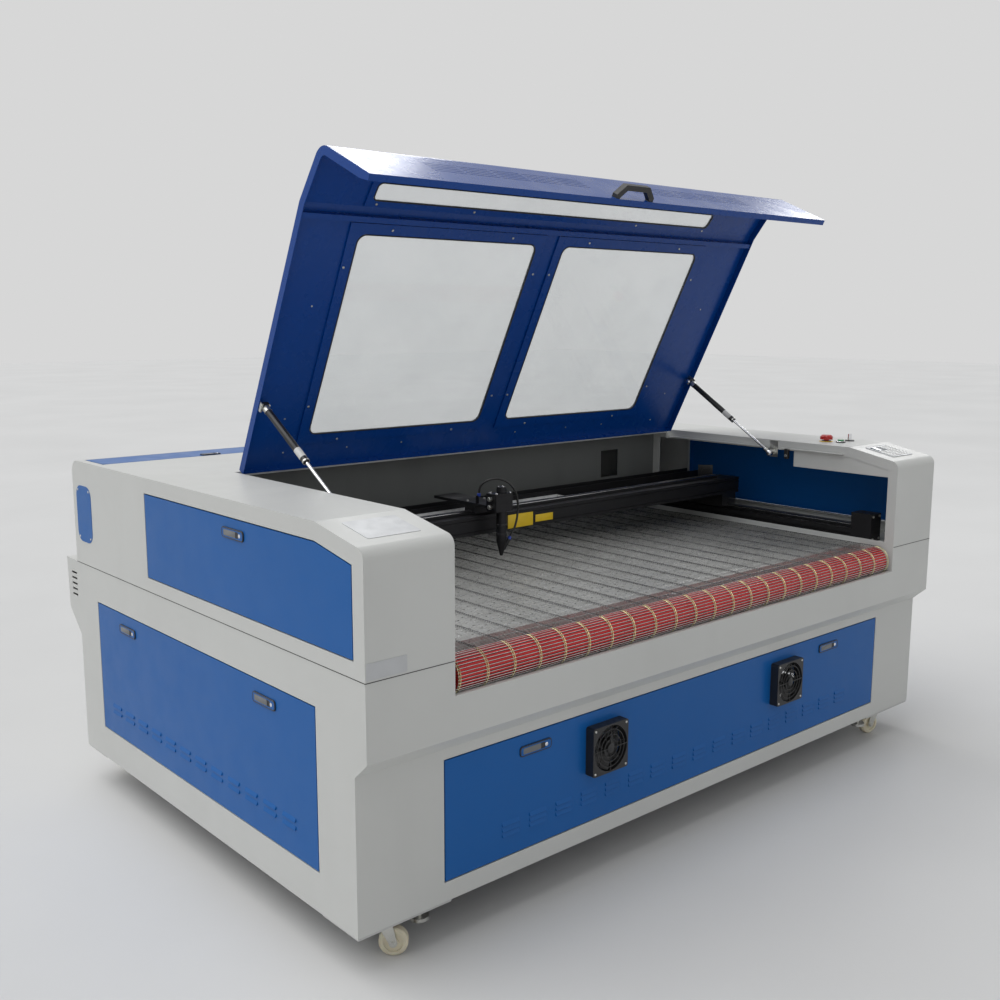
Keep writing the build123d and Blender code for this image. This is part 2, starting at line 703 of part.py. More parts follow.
def rear_box():
    """The top, the back and the slanted floor of the box that makes room for the belt's rear turn."""
    face = rear_box_outline()
    bottom = SEAM - REAR_BOX_HEIGHT - REAR_BOX_SLANT
    rim = bottom + REAR_BOX_RIM
    knee = SEAM - REAR_BOX_HEIGHT + SHEET / 2
    edge = HALF - SHEET
    walls = face - grown(face, -SHEET) - area((DEPTH - 1, DEPTH + SHEET), (rim, SEAM - SHEET))
    levels = [(SEAM - SHEET, SEAM), (knee, SEAM - SHEET), (bottom, knee)]
    return [prism_x(walls & area((DEPTH, REAR_MOST), level), -edge, edge) for level in levels]


def rear_box_ends():
    """The end plates of the rear box, with their vent slots and a flange along the rear skin."""
    rim = SEAM - REAR_BOX_HEIGHT - REAR_BOX_SLANT + REAR_BOX_RIM
    plate = prism_x(rear_box_outline(), -HALF, SHEET - HALF)
    plate += block((-HALF, REAR_BOX_RIM - HALF), (DEPTH, DEPTH + SHEET), (rim, SEAM - SHEET))
    slots = []
    for index in range(VENT_COUNT):
        z = SEAM - VENT_DROP - index * VENT_PITCH
        slots.append(block((-HALF - 1, SHEET - HALF + 1),
                           (DEPTH + VENT_FRONT, DEPTH + VENT_FRONT + VENT_LENGTH),
                           (z, z + VENT_HEIGHT)))
    plate = plate - slots
    return [plate, mirrored(plate)]


def exhaust_spigots():
    spigots = []
    for x in (-DUCT_X, DUCT_X):
        spigot = bar_y(x, DUCT_Z, DUCT_FLANGE_RADIUS, DEPTH, DEPTH + SHEET)
        spigot += bar_y(x, DUCT_Z, DUCT_RADIUS, DEPTH + SHEET, DEPTH + DUCT_LENGTH)
        spigot -= bar_y(x, DUCT_Z, DUCT_RADIUS - DUCT_WALL, DEPTH - 1, DEPTH + DUCT_LENGTH + 1)
        spigots.append(spigot)
    return spigots


def levelling_feet():
    feet = []
    for x in (-FOOT_X, FOOT_X):
        for y in (CASTER_FRONT_Y, CASTER_REAR_Y):
            foot = bar_z(x, y, FOOT_RADIUS, FOOT_CLEARANCE, FOOT_CLEARANCE + FOOT_THICKNESS)
            foot += bar_z(x, y, FOOT_STUD_RADIUS, FOOT_CLEARANCE + FOOT_THICKNESS, PAD_BOTTOM)
            nut = prism_z(RegularPolygon(FOOT_NUT_RADIUS, 6), PAD_BOTTOM - FOOT_NUT_HEIGHT, PAD_BOTTOM)
            feet.append(foot + Pos(x, y, 0) * nut)
    return feet


# Upper body

def left_console(right=False):
    """One console: a folded shell, open towards the chamber. The right one carries the controls."""
    profile = upper_outline()
    shell = prism_x(profile, -HALF, -INNER)
    shell -= prism_x(grown(profile, -SHEET), SHEET - HALF, -INNER - SHEET)
    shell -= block((SEAM_FLANGE - HALF, -INNER - RAIL_FLANGE), (SEAM_FLANGE, DEPTH - SEAM_FLANGE),
                   (SEAM - 1, SEAM + SHEET + 1))
    inner_wall = (-INNER - SHEET - 1, 1 - INNER)
    inset = grown(profile, -ARCH_FLANGE)
    arch = inset & area((0, CHAMBER_REAR - SHEET - ARCH_FLANGE), (SEAM, TOP))
    arch += area((ARCH_FLANGE, CHAMBER_REAR - SHEET - ARCH_FLANGE),
                 (SEAM + ARCH_SILL, SEAM + UPPER_HEIGHT / 2))
    shell -= prism_x(arch, *inner_wall)
    bay = (CHAMBER_REAR + ARCH_FLANGE, DEPTH - ARCH_FLANGE)
    shell -= prism_x(inset & area(bay, (BAY_FLOOR, TOP)), *inner_wall)
    rear_edge = TUBE_COVER_REAR + DOOR_REVEAL
    side_edge = TUBE_COVER_HALF + DOOR_REVEAL
    shell -= block((-side_edge, 1 - INNER), (TUBE_COVER_FRONT - DOOR_REVEAL, rear_edge),
                   (TOP - ARCH_FLANGE, TOP + 1))
    tab = block((-side_edge - SHEET, -side_edge), (rear_edge - TUBE_COVER_TAB, rear_edge),
                (TOP - TUBE_COVER_TAB, TOP - SHEET))
    shell += tab - bar_x(TUBE_COVER_REAR - HINGE_INSET, TOP - HINGE_INSET,
                         HINGE_PIN_RADIUS + PIN_CLEARANCE, -side_edge - SHEET - 1, 1 - side_edge)
    ledge_top = TOP - LID_FOLD - LEDGE_CLEARANCE
    for span in LEDGE_SPANS:
        shell += block((-INNER, LEDGE_WIDTH - INNER), span, (ledge_top - SHEET, ledge_top))
    door = upper_door_outline()
    shell -= on_left_side(door_hole(door))
    shell += on_left_side(door_collar(door))
    if right:
        for x, y in (ESTOP_PLACE, BUTTON_PLACE, KEY_PLACE):
            shell -= bar_z(-x, y, PLUNGER_RADIUS + 1, TOP - SHEET - 1, TOP + 1)
    return shell


def rear_housing():
    """The trough that holds the laser tube, with the top strips before and behind its cover."""
    profile = upper_outline()
    shell = prism_x(profile - grown(profile, -SHEET), -INNER, INNER)
    shell -= block((-HALF, HALF), (-1, STRIP_FRONT), (SEAM - 1, TOP + 1))
    shell -= block((-HALF, HALF), (0, DEPTH - SHEET), (SEAM - 1, SEAM + SHEET + 1))
    shell -= block((-HALF, HALF), (TUBE_COVER_FRONT - DOOR_REVEAL, TUBE_COVER_REAR + DOOR_REVEAL),
                   (TOP - SHEET - 1, TOP + 1))
    shell += block((-INNER, INNER), (STRIP_FRONT, STRIP_FRONT + SHEET), (TOP - STRIP_LIP, TOP - SHEET))
    shell += block((-INNER, INNER), (CHAMBER_REAR, DEPTH - SHEET), (BAY_FLOOR - SHEET, BAY_FLOOR))
    for x in GUSSET_OFFSETS:
        shell += block((x - SHEET / 2, x + SHEET / 2),
                       (CHAMBER_REAR, TUBE_COVER_FRONT - DOOR_REVEAL - SHEET),
                       (BAY_FLOOR, TOP - SHEET))
    for x in (-SADDLE_OFFSET, SADDLE_OFFSET):
        saddle = block((x - SADDLE_LENGTH / 2, x + SADDLE_LENGTH / 2),
                       (TUBE_Y - SADDLE_WIDTH / 2, TUBE_Y + SADDLE_WIDTH / 2), (BAY_FLOOR, TUBE_Z))
        shell += saddle - bar_x(TUBE_Y, TUBE_Z, TUBE_RADIUS + RUNNING_GAP, x - SADDLE_LENGTH,
                                x + SADDLE_LENGTH)
    return shell


def chamber_rear_wall():
    wall = block((-INNER, INNER), (CHAMBER_REAR - SHEET, CHAMBER_REAR),
                 (BAY_FLOOR - SHEET, TOP - SHEET))
    port_z = [SEAM + rise for rise in BEAM_PORT_RISE]
    return wall - block(BEAM_PORT_X, (CHAMBER_REAR - SHEET - 1, CHAMBER_REAR + 1), port_z)


def laser_tube():
    """The glass tube with its two end caps."""
    half = TUBE_LENGTH / 2
    tube = bar_x(TUBE_Y, TUBE_Z, TUBE_RADIUS, TUBE_CAP_LENGTH - half, half - TUBE_CAP_LENGTH)
    return tube + bar_x(TUBE_Y, TUBE_Z, TUBE_CAP_RADIUS, -half, half)


def tube_cover():
    """The hinged lid over the tube bay, on pins at its rear corners, with its paddle latch."""
    half = TUBE_COVER_HALF
    face = Pos(0, TUBE_Y) * Rectangle(2 * half, TUBE_COVER_DEPTH)
    for x in (-half, half):
        face = round_corner(face, (x, TUBE_COVER_FRONT), FRONT_ROUND)
    cover = prism_z(face, TOP - DOOR_FOLD, TOP)
    cover -= prism_z(grown(face, -SHEET), TOP - DOOR_FOLD - 1, TOP - SHEET)
    reach = DOOR_REVEAL + SHEET + PIN_REACH
    for start, end in ((-half - reach, SHEET - half), (half - SHEET, half + reach)):
        cover += bar_x(TUBE_COVER_REAR - HINGE_INSET, TOP - HINGE_INSET, HINGE_PIN_RADIUS, start, end)
    paddle = latch(COVER_LATCH_X, 0, COVER_LATCH_LENGTH)
    return [cover, Pos(0, TUBE_COVER_FRONT + COVER_LATCH_INSET, TOP) * Rot(-90, 0, 0) * paddle]


def side_covers():
    """A rounded blanking plate on each side, with four screw holes."""
    face = Rectangle(SIDE_COVER_LENGTH, SIDE_COVER_HEIGHT)
    half_y = SIDE_COVER_LENGTH / 2
    half_z = SIDE_COVER_HEIGHT / 2
    for corner in ((-half_y, half_z), (-half_y, -half_z), (half_y, half_z), (half_y, -half_z)):
        face = round_corner(face, corner, SIDE_COVER_ROUND)
    place = Pos(SIDE_COVER_FRONT + half_y, SIDE_COVER_BOTTOM + half_z)
    plate = prism_x(place * face, -HALF - PLATE_THICKNESS, -HALF)
    return [plate, mirrored(plate)]


# Doors

def front_door():
    leaf = door_leaf(front_door_outline())
    first = -(FRONT_LOUVRE_GROUPS - 1) / 2 * FRONT_LOUVRE_PITCH
    places = [(first + column * FRONT_LOUVRE_PITCH,
               FRONT_DOOR_BOTTOM + FRONT_LOUVRE_RISE + row * LOUVRE_ROW_PITCH)
              for column in range(FRONT_LOUVRE_GROUPS) for row in range(FRONT_LOUVRE_ROWS)]
    leaf = with_louvres(leaf, places)
    for x in (-FAN_OFFSET, FAN_OFFSET):
        leaf -= bar_y(x, FRONT_DOOR_BOTTOM + FAN_RISE, FAN_BORE, -1, SHEET + 1)
    latches = [latch(x, FRONT_DOOR_TOP - FRONT_LATCH_DROP)
               for x in (-FRONT_LATCH_OFFSET, FRONT_LATCH_OFFSET)]
    return [Pos(0, TOE_RECESS, 0) * solid for solid in (leaf, *latches)]


def left_lower_door():
    leaf = door_leaf(lower_door_outline())
    rear = -LOWER_DOOR_FRONT - LOWER_DOOR_LENGTH
    places = [(-LOWER_DOOR_FRONT - SIDE_LOUVRE_START - column * SIDE_LOUVRE_PITCH,
               LOWER_DOOR_BOTTOM + SIDE_LOUVRE_RISE + row * SIDE_LOUVRE_ROW_PITCH)
              for column in range(SIDE_LOUVRE_GROUPS) for row in range(SIDE_LOUVRE_ROWS)]
    leaf = with_louvres(leaf, places)
    z = LOWER_DOOR_BOTTOM + LOWER_DOOR_HEIGHT - LOWER_LATCH_DROP
    latches = [latch(rear + LOWER_DOOR_LENGTH - along, z) for along in LOWER_LATCH_OFFSETS]
    return [on_left_side(solid) for solid in (leaf, *latches)]


def left_upper_door():
    leaf = door_leaf(upper_door_outline())
    z = UPPER_DOOR_BOTTOM + UPPER_DOOR_HEIGHT - UPPER_LATCH_DROP
    handle = latch(-UPPER_DOOR_FRONT - UPPER_LATCH_OFFSET, z)
    return [on_left_side(solid) for solid in (leaf, handle)]


def mirrored_all(solids):
    return [mirrored(solid) for solid in solids]


# Fans on the front door, made round the origin facing the front

def fan_place(x):
    return Pos(x, TOE_RECESS, FRONT_DOOR_BOTTOM + FAN_RISE)


def fan_case():
    """A square fan frame with a spider behind and a finger guard before its rotor."""
    case = prism_y(RectangleRounded(FAN_SIZE, FAN_SIZE, FAN_CORNER), -FAN_DEPTH, 0)
    case -= bar_y(0, 0, FAN_BORE, -FAN_DEPTH - 1, 1)
    case += bar_y(0, 0, FAN_HUB_RADIUS, -FAN_SPIDER, 0)
    case += bar_y(0, 0, FAN_PIN_RADIUS, FAN_GUARD - FAN_DEPTH, -FAN_SPIDER)
    arm = block((FAN_HUB_RADIUS - FAN_ARM_LAP, FAN_BORE + 1), (-FAN_SPIDER, 0),
                (-FAN_ARM / 2, FAN_ARM / 2))
    for turn in (45, 135, 225, 315):
        case += Rot(0, turn, 0) * arm
    for radius in FAN_GUARD_RINGS:
        ring = Circle(radius + FAN_GUARD / 2) - Circle(radius - FAN_GUARD / 2)
        case += prism_y(ring, -FAN_DEPTH, FAN_GUARD - FAN_DEPTH)
    spoke = block((-FAN_BORE - 1, FAN_BORE + 1), (-FAN_DEPTH, FAN_GUARD - FAN_DEPTH),
                  (-FAN_GUARD / 2, FAN_GUARD / 2))
    for turn in (0, 90):
        case += Rot(0, turn, 0) * spoke
    return case


def fan_rotor():
    """A hub with pitched blades, turning on the pin of its case."""
    front = -FAN_DEPTH + FAN_GUARD + FAN_GUARD_GAP
    middle = front + FAN_HUB_LENGTH / 2
    rotor = bar_y(0, 0, FAN_HUB_RADIUS, front, front + FAN_HUB_LENGTH)
    start = FAN_HUB_RADIUS - FAN_ARM_LAP
    length = FAN_BORE - FAN_TIP_GAP - start
    blade = Rot(FAN_BLADE_ANGLE, 0, 0) * Box(length, FAN_BLADE, FAN_BLADE_WIDTH)
    blade = Pos(start + length / 2, middle, 0) * blade
    for index in range(FAN_BLADES):
        rotor += Rot(0, index * 360 / FAN_BLADES, 0) * blade
    rotor &= bar_y(0, 0, FAN_BORE - FAN_TIP_GAP, front, front + FAN_HUB_LENGTH)
    return rotor - bar_y(0, 0, FAN_PIN_RADIUS + PIN_CLEARANCE, front - 1, front + FAN_HUB_LENGTH + 1)


# Conveyor

def roller(y):
    """A drum on its shaft."""
    half = INNER - ROLLER_SIDE_GAP
    end = INNER + SHEET + BEARING_WIDTH
    drum = bar_x(y, ROLLER_Z, ROLLER_RADIUS, -half, half)
    return drum + bar_x(y, ROLLER_Z, ROLLER_SHAFT_RADIUS, -end, end)


def roller_bearings():
    """A pillow block for each shaft end, on the outer side of the trough walls."""
    bearings = []
    half = BEARING_SIZE / 2
    for y in (FRONT_ROLLER_Y, REAR_ROLLER_Y):
        reach = min(half, y - SHEET - ROLLER_GAP, DEPTH - SHEET - ROLLER_GAP - y)
        low = INNER + SHEET
        bearing = block((low, low + BEARING_WIDTH), (y - reach, y + reach),
                        (ROLLER_Z - half, ROLLER_Z + half))
        bearing -= bar_x(y, ROLLER_Z, ROLLER_SHAFT_RADIUS + SHAFT_CLEARANCE, low - 1,
                         low + BEARING_WIDTH + 1)
        bearings += [bearing, mirrored(bearing)]
    return bearings


def belt_loop(radius):
    """The outline of the belt's round at a distance from the roller axes."""
    run = area((FRONT_ROLLER_Y, REAR_ROLLER_Y), (ROLLER_Z - radius, ROLLER_Z + radius))
    for y in (FRONT_ROLLER_Y, REAR_ROLLER_Y):
        run += Pos(y, ROLLER_Z) * Circle(radius)
    return run


def mesh_belt():
    """The wire mesh as one wall with raised link lines, and gaps where it turns at the front."""
    inner = belt_loop(ROLLER_RADIUS + ROLLER_GAP)
    half = INNER - BELT_SIDE_GAP
    wall = BELT_OUTER - BELT_RIDGE_PROUD
    belt = prism_x(belt_loop(wall) - inner, -half, half)
    pitch = (2 * half - BELT_RIDGE_WIDTH) / (BELT_RIDGES - 1)
    ridge_face = belt_loop(BELT_OUTER) - belt_loop(wall)
    ridges = []
    for index in range(BELT_RIDGES):
        x = index * pitch - half
        ridges.append(prism_x(ridge_face, x, x + BELT_RIDGE_WIDTH))
    belt = belt + ridges
    gaps = []
    for index in range(BELT_RIDGES - 1):
        x = index * pitch - half + BELT_RIDGE_WIDTH
        gap = block((x + BELT_GAP_MARGIN, x + pitch - BELT_RIDGE_WIDTH - BELT_GAP_MARGIN),
                    (-BELT_OUTER - 1, -ROLLER_RADIUS / 2),
                    (-BELT_GAP_OPENING / 2, BELT_GAP_OPENING / 2))
        for row in range(BELT_GAP_ROWS):
            turn = (row - (BELT_GAP_ROWS - 1) / 2) * BELT_GAP_ANGLE - BELT_GAP_ANGLE
            gaps.append(Pos(0, FRONT_ROLLER_Y, ROLLER_Z) * Rot(turn, 0, 0) * gap)
    return belt - gaps


def bed_plate():
    """The perforated table plate that carries the belt's top run."""
    return block((-INNER, INNER), (BED_FRONT, BED_REAR), (BED_TOP - BED_THICKNESS, BED_TOP))


# Lid, made closed and then turned about its hinge

def opened(solid):
    """Turns a piece of the closed lid to the open rest pose."""
    return Pos(0, HINGE_Y, HINGE_Z) * Rot(-LID_OPEN_ANGLE, 0, 0) * Pos(0, -HINGE_Y, -HINGE_Z) * solid


def lid_profile():
    face = outline([(LID_REAR, TOP), (CONSOLE_SLOPE_RUN, TOP), (LID_FRONT, LID_CORNER),
                    (LID_FRONT - LID_FLAP_LEAN, LID_BOTTOM), (LID_REAR, LID_BOTTOM)])
    return round_corner(face, (LID_FRONT, LID_CORNER), LID_ROUND)


def lid_band(depth):
    """The part of the lid's profile within a depth of its outer face."""
    profile = lid_profile()
    band = profile - grown(profile, -depth)
    hem = LID_FRONT - LID_FLAP_LEAN + LID_HEM
    band -= outline([(hem, LID_BOTTOM - 1), (LID_REAR + 1, LID_BOTTOM - 1),
                     (LID_REAR + 1, LID_BOTTOM + LID_HEM_BEVEL),
                     (LID_FRONT + LID_FOLD, LID_BOTTOM + LID_HEM_BEVEL), (hem, LID_BOTTOM + SHEET)])
    return band - area((LID_REAR - depth - 1, LID_REAR + 1), (LID_BOTTOM - 1, TOP - LID_FOLD))


def on_flat(solid):
    """Places a piece made with y = minus its distance from the lid's rear edge, z = 0 outside."""
    return Pos(0, LID_REAR, TOP) * solid


def on_slope(solid):
    """The same on the sloped stretch, measured from the bend."""
    return Pos(0, CONSOLE_SLOPE_RUN, TOP) * Rot(SLOPE_ANGLE, 0, 0) * solid


def on_flap(solid):
    """Places a piece made with z = minus its distance from the front corner, y = 0 outside."""
    return Pos(0, LID_FRONT, LID_CORNER) * Rot(-FLAP_ANGLE, 0, 0) * solid


def window_face(x, start, width, length, radius):
    return Pos(x, -start - length / 2) * RectangleRounded(width, length, radius)


def windows():
    """Each window: how it is placed, its centre, start, width, length, corner and retainer."""
    shift = WINDOW_SPACING / 2
    return [
        (on_flat, WINDOW_CENTRE - shift, WINDOW_START, WINDOW_WIDTH, WINDOW_LENGTH,
         WINDOW_ROUND, RETAINER_WIDTH),
        (on_flat, WINDOW_CENTRE + shift, WINDOW_START, WINDOW_WIDTH, WINDOW_LENGTH,
         WINDOW_ROUND, RETAINER_WIDTH),
        (on_slope, WINDOW_CENTRE, NARROW_WINDOW_START, NARROW_WINDOW_WIDTH, NARROW_WINDOW_LENGTH,
         NARROW_WINDOW_ROUND, NARROW_RETAINER_WIDTH),
    ]


def lid_frame():
    lid = prism_x(lid_band(SHEET), -LID_HALF, LID_HALF)
    cheek = lid_band(LID_FOLD)
    lid += prism_x(cheek, -LID_HALF, SHEET - LID_HALF)
    lid += prism_x(cheek, LID_HALF - SHEET, LID_HALF)
    lid += block((SHEET - LID_HALF, LID_HALF - SHEET), (LID_RIB_Y, LID_RIB_Y + LID_RIB_WIDTH),
                 (TOP - SHEET - LID_RIB_DEPTH, TOP - SHEET))
    for place, x, start, width, length, radius, _ in windows():
        face = window_face(x, start, width, length, radius)
        lid -= place(prism_z(face, -SHEET - 1, 1))
    slits = []
    for start in SLIT_GROUP_STARTS:
        for column in range(SLIT_COLUMNS):
            x = start + column * SLIT_PITCH
            for row in range(SLIT_ROWS):
                z = -SLIT_DROP - row * SLIT_ROW_PITCH
                slits.append(on_flap(block((x, x + SLIT_LENGTH), (-1, SHEET + 1),
                                           (z - SLIT_HEIGHT, z))))
    return opened(lid - slits)


def lid_windows():
    panes = []
    for place, x, start, width, length, radius, _ in windows():
        face = grown(window_face(x, start, width, length, radius), GLASS_LAP)
        panes.append(opened(place(prism_z(face, -SHEET - GLASS_THICKNESS, -SHEET))))
    return panes


def window_retainers():
    """The frames that hold the panes against the lid from inside."""
    frames = []
    for place, x, start, width, length, radius, rim in windows():
        face = window_face(x, start, width, length, radius)
        outer = Pos(x, -start - length / 2) * Rectangle(width + 2 * rim, length + 2 * rim)
        depth = SHEET + GLASS_THICKNESS + RETAINER_THICKNESS
        frame = prism_z(outer - face, -depth, -SHEET)
        frame -= prism_z(grown(face, GLASS_LAP), -SHEET - GLASS_THICKNESS, -SHEET + 1)
        frames.append(opened(place(frame)))
    return frames


def bevelled(width, reach, bevel):
    """A flat shape from a wall at y = 0 outwards, with its two outer corners cut at 45 degrees."""
    half = width / 2
    return outline([(-half, 0), (-half, bevel - reach), (bevel - half, -reach),
                    (half - bevel, -reach), (half, bevel - reach), (half, 0)])


def lid_handle():
    """A pull with bevelled corners on the front flap."""
    inner_bevel = HANDLE_BEVEL - HANDLE_BAR * math.tan(math.radians(22.5))
    grip = bevelled(HANDLE_WIDTH, HANDLE_REACH, HANDLE_BEVEL)
    grip -= bevelled(HANDLE_WIDTH - 2 * HANDLE_BAR, HANDLE_REACH - HANDLE_BAR, inner_bevel)
    grip = prism_z(grip, -HANDLE_HEIGHT / 2, HANDLE_HEIGHT / 2)
    return opened(on_flap(Pos(HANDLE_X, 0, -HANDLE_DROP) * grip))


def butt_hinge(x, fixed):
    """One half of a butt hinge. The fixed half has two knuckles and the pin."""
    knuckle = BUTT_KNUCKLE / 2
    half = BUTT_WIDTH / 2
    leaf_z = (TOP, TOP + BUTT_THICKNESS)
    clear = BUTT_BARREL_RADIUS + BUTT_CLEARANCE
    if fixed:
        leaf = block((-half, half), (HINGE_Y + clear, HINGE_Y + clear + BUTT_LENGTH), leaf_z)
        spans = ((-half, -knuckle), (knuckle, half))
        reach = (HINGE_Y, HINGE_Y + clear)
    else:
        leaf = block((-half, half), (HINGE_Y - clear - BUTT_LENGTH, HINGE_Y - clear), leaf_z)
        spans = ((RUNNING_GAP - knuckle, knuckle - RUNNING_GAP),)
        reach = (HINGE_Y - clear, HINGE_Y)
    for low, high in spans:
        leaf += block((low, high), reach, leaf_z)
        leaf += bar_x(HINGE_Y, HINGE_Z, BUTT_BARREL_RADIUS, low, high)
    if fixed:
        leaf += bar_x(HINGE_Y, HINGE_Z, BUTT_PIN_RADIUS, -half, half)
    else:
        leaf -= bar_x(HINGE_Y, HINGE_Z, BUTT_PIN_RADIUS + PIN_CLEARANCE, -half, half)
    return Pos(x, 0, 0) * leaf


def strut_pin_closed():
    """The upper pivot of a strut with the lid closed, in (y, z)."""
    return LID_REAR - STRUT_HIGH_REACH, TOP - STRUT_HIGH_DEPTH


def strut_pin_open():
    """The same pivot with the lid open, turned about the lid's hinge."""
    y, z = strut_pin_closed()
    angle = math.radians(-LID_OPEN_ANGLE)
    dy, dz = y - HINGE_Y, z - HINGE_Z
    return (HINGE_Y + dy * math.cos(angle) - dz * math.sin(angle),
            HINGE_Z + dy * math.sin(angle) + dz * math.cos(angle))


def strut_length(pin):
    return math.hypot(pin[0] - STRUT_LOW_Y, pin[1] - STRUT_LOW_Z)


def strut_lean(pin):
    """The strut's angle from upright towards the back, in degrees."""
    return math.degrees(math.atan2(pin[0] - STRUT_LOW_Y, pin[1] - STRUT_LOW_Z))


def along_strut(solid):
    """Places a piece made upright from the lower pivot onto the left strut's line."""
    return Pos(-STRUT_X, STRUT_LOW_Y, STRUT_LOW_Z) * Rot(-strut_lean(strut_pin_open()), 0, 0) * solid


def strut_eye(z):
    half = STRUT_EYE_WIDTH / 2
    eye = bar_x(0, z, STRUT_EYE_RADIUS, -half, half)
    return eye - bar_x(0, z, STRUT_STUD_RADIUS + PIN_CLEARANCE, -half - 1, half + 1)


def left_strut_rod():
    gland = strut_length(strut_pin_open()) - STRUT_TUBE_LENGTH
    rod = bar_z(0, 0, STRUT_ROD_RADIUS, STRUT_EYE_RADIUS - 1, gland + STRUT_ROD_OVERLAP)
    return along_strut(strut_eye(0) + rod)


def left_strut_tube():
    length = strut_length(strut_pin_open())
    gland = length - STRUT_TUBE_LENGTH
    tube = bar_z(0, 0, STRUT_TUBE_RADIUS, gland, length)
    tube += bar_x(0, length, STRUT_EYE_RADIUS, -STRUT_SOCKET_WIDTH / 2, STRUT_SOCKET_WIDTH / 2)
    bore_end = length - STRUT_TUBE_BLIND
    return along_strut(tube - bar_z(0, 0, STRUT_ROD_RADIUS + PIN_CLEARANCE, gland - 1, bore_end))


def strut_brackets():
    """The stud plates on the consoles' inner edges that carry the struts' lower eyes."""
    half = STRUT_PLATE_WIDTH / 2
    plate = block((-INNER, SHEET - INNER), (STRUT_LOW_Y - half, STRUT_LOW_Y + half),
                  (STRUT_LOW_Z - half, TOP - SHEET))
    eye_edge = STRUT_X - STRUT_EYE_WIDTH / 2
    plate += bar_x(STRUT_LOW_Y, STRUT_LOW_Z, STRUT_STUD_RADIUS, SHEET - INNER,
                   STRUT_STUD_ENTRY - eye_edge)
    collar = STRUT_X + STRUT_EYE_WIDTH / 2 + RUNNING_GAP
    plate += bar_x(STRUT_LOW_Y, STRUT_LOW_Z, STRUT_STUD_RADIUS * 2, SHEET - INNER, -collar)
    return [plate, mirrored(plate)]


def strut_ears():
    """The lugs under the lid beside the struts' upper eyes."""
    y, z = strut_pin_closed()
    ear = block((-STRUT_EAR_X, STRUT_PLATE - STRUT_EAR_X), (y - STRUT_EAR_WIDTH / 2, y + STRUT_EAR_WIDTH / 2),
                (z - STRUT_EYE_RADIUS, TOP - SHEET))
    ear = opened(ear)
    return [ear, mirrored(ear)]


def lid_mountings():
    return [butt_hinge(x, True) for x in BUTT_OFFSETS] + strut_brackets()


def lid_fittings():
    return [opened(butt_hinge(x, False)) for x in BUTT_OFFSETS] + strut_ears()


# Gantry

def y_rails():
    """Each side's rail with a raised guide, and the belt idler before it."""
    half = RAIL_WIDTH / 2
    front = IDLER_FRONT + IDLER_LENGTH
    rail = block((-RAIL_X - half, half - RAIL_X), (front, RAIL_REAR), (RAIL_SEAT, RAIL_SEAT + RAIL_HEIGHT))
    z_slot = RAIL_SEAT + RAIL_HEIGHT / 2
    rail -= block((half - RAIL_X - SLOT_DEPTH, half - RAIL_X + 1), (front - 1, RAIL_REAR + 1),
                  (z_slot - SLOT_WIDTH / 2, z_slot + SLOT_WIDTH / 2))
    guide = block((-RAIL_X - GUIDE_WIDTH / 2, GUIDE_WIDTH / 2 - RAIL_X), (front, RAIL_REAR),
                  (RAIL_SEAT + RAIL_HEIGHT, GUIDE_TOP))
    idler = block((-RAIL_X - half, half - RAIL_X), (IDLER_FRONT, front), (RAIL_SEAT, RAIL_SEAT + IDLER_HEIGHT))
    idler -= block((IDLER_WEB - RAIL_X - half, half - RAIL_X - IDLER_WEB),
                   (IDLER_FRONT + IDLER_WALL, front - IDLER_WALL),
                   (RAIL_SEAT + IDLER_FLANGE, RAIL_SEAT + IDLER_HEIGHT - IDLER_FLANGE))
    parts = [rail, guide, idler]
    return parts + mirrored_all(parts)


def gantry_carriages():
    """The end plate on each rail's guide, with a mirror mount on top."""
    low = -RAIL_X - CARRIAGE_WIDTH / 2
    high = CARRIAGE_WIDTH / 2 - RAIL_X
    y = (CARRIAGE_FRONT, CARRIAGE_FRONT + CARRIAGE_LENGTH)
    base = GUIDE_TOP - GUIDE_HEIGHT / 2
    plate = block((low, high), y, (base, BEAM_BOTTOM))
    groove = GUIDE_WIDTH / 2 + RUNNING_GAP
    plate -= block((-RAIL_X - groove, groove - RAIL_X), (y[0] - 1, y[1] + 1),
                   (base - 1, GUIDE_TOP + RUNNING_GAP))
    half = MIRROR_SIZE / 2
    y_mirror = SHELF_REAR - BEAM_SHELF / 2
    face = MIRROR_PLATE / 2
    mount = block((-half, half), (-face, face), (0, MIRROR_HEIGHT))
    mount += bar_y(0, MIRROR_HEIGHT - half, MIRROR_GLASS_RADIUS, -face - MIRROR_GLASS, -face)
    parts = [plate, Pos(-RAIL_X, y_mirror, SHELF_TOP) * Rot(0, 0, 45) * mount]
    return parts + mirrored_all(parts)


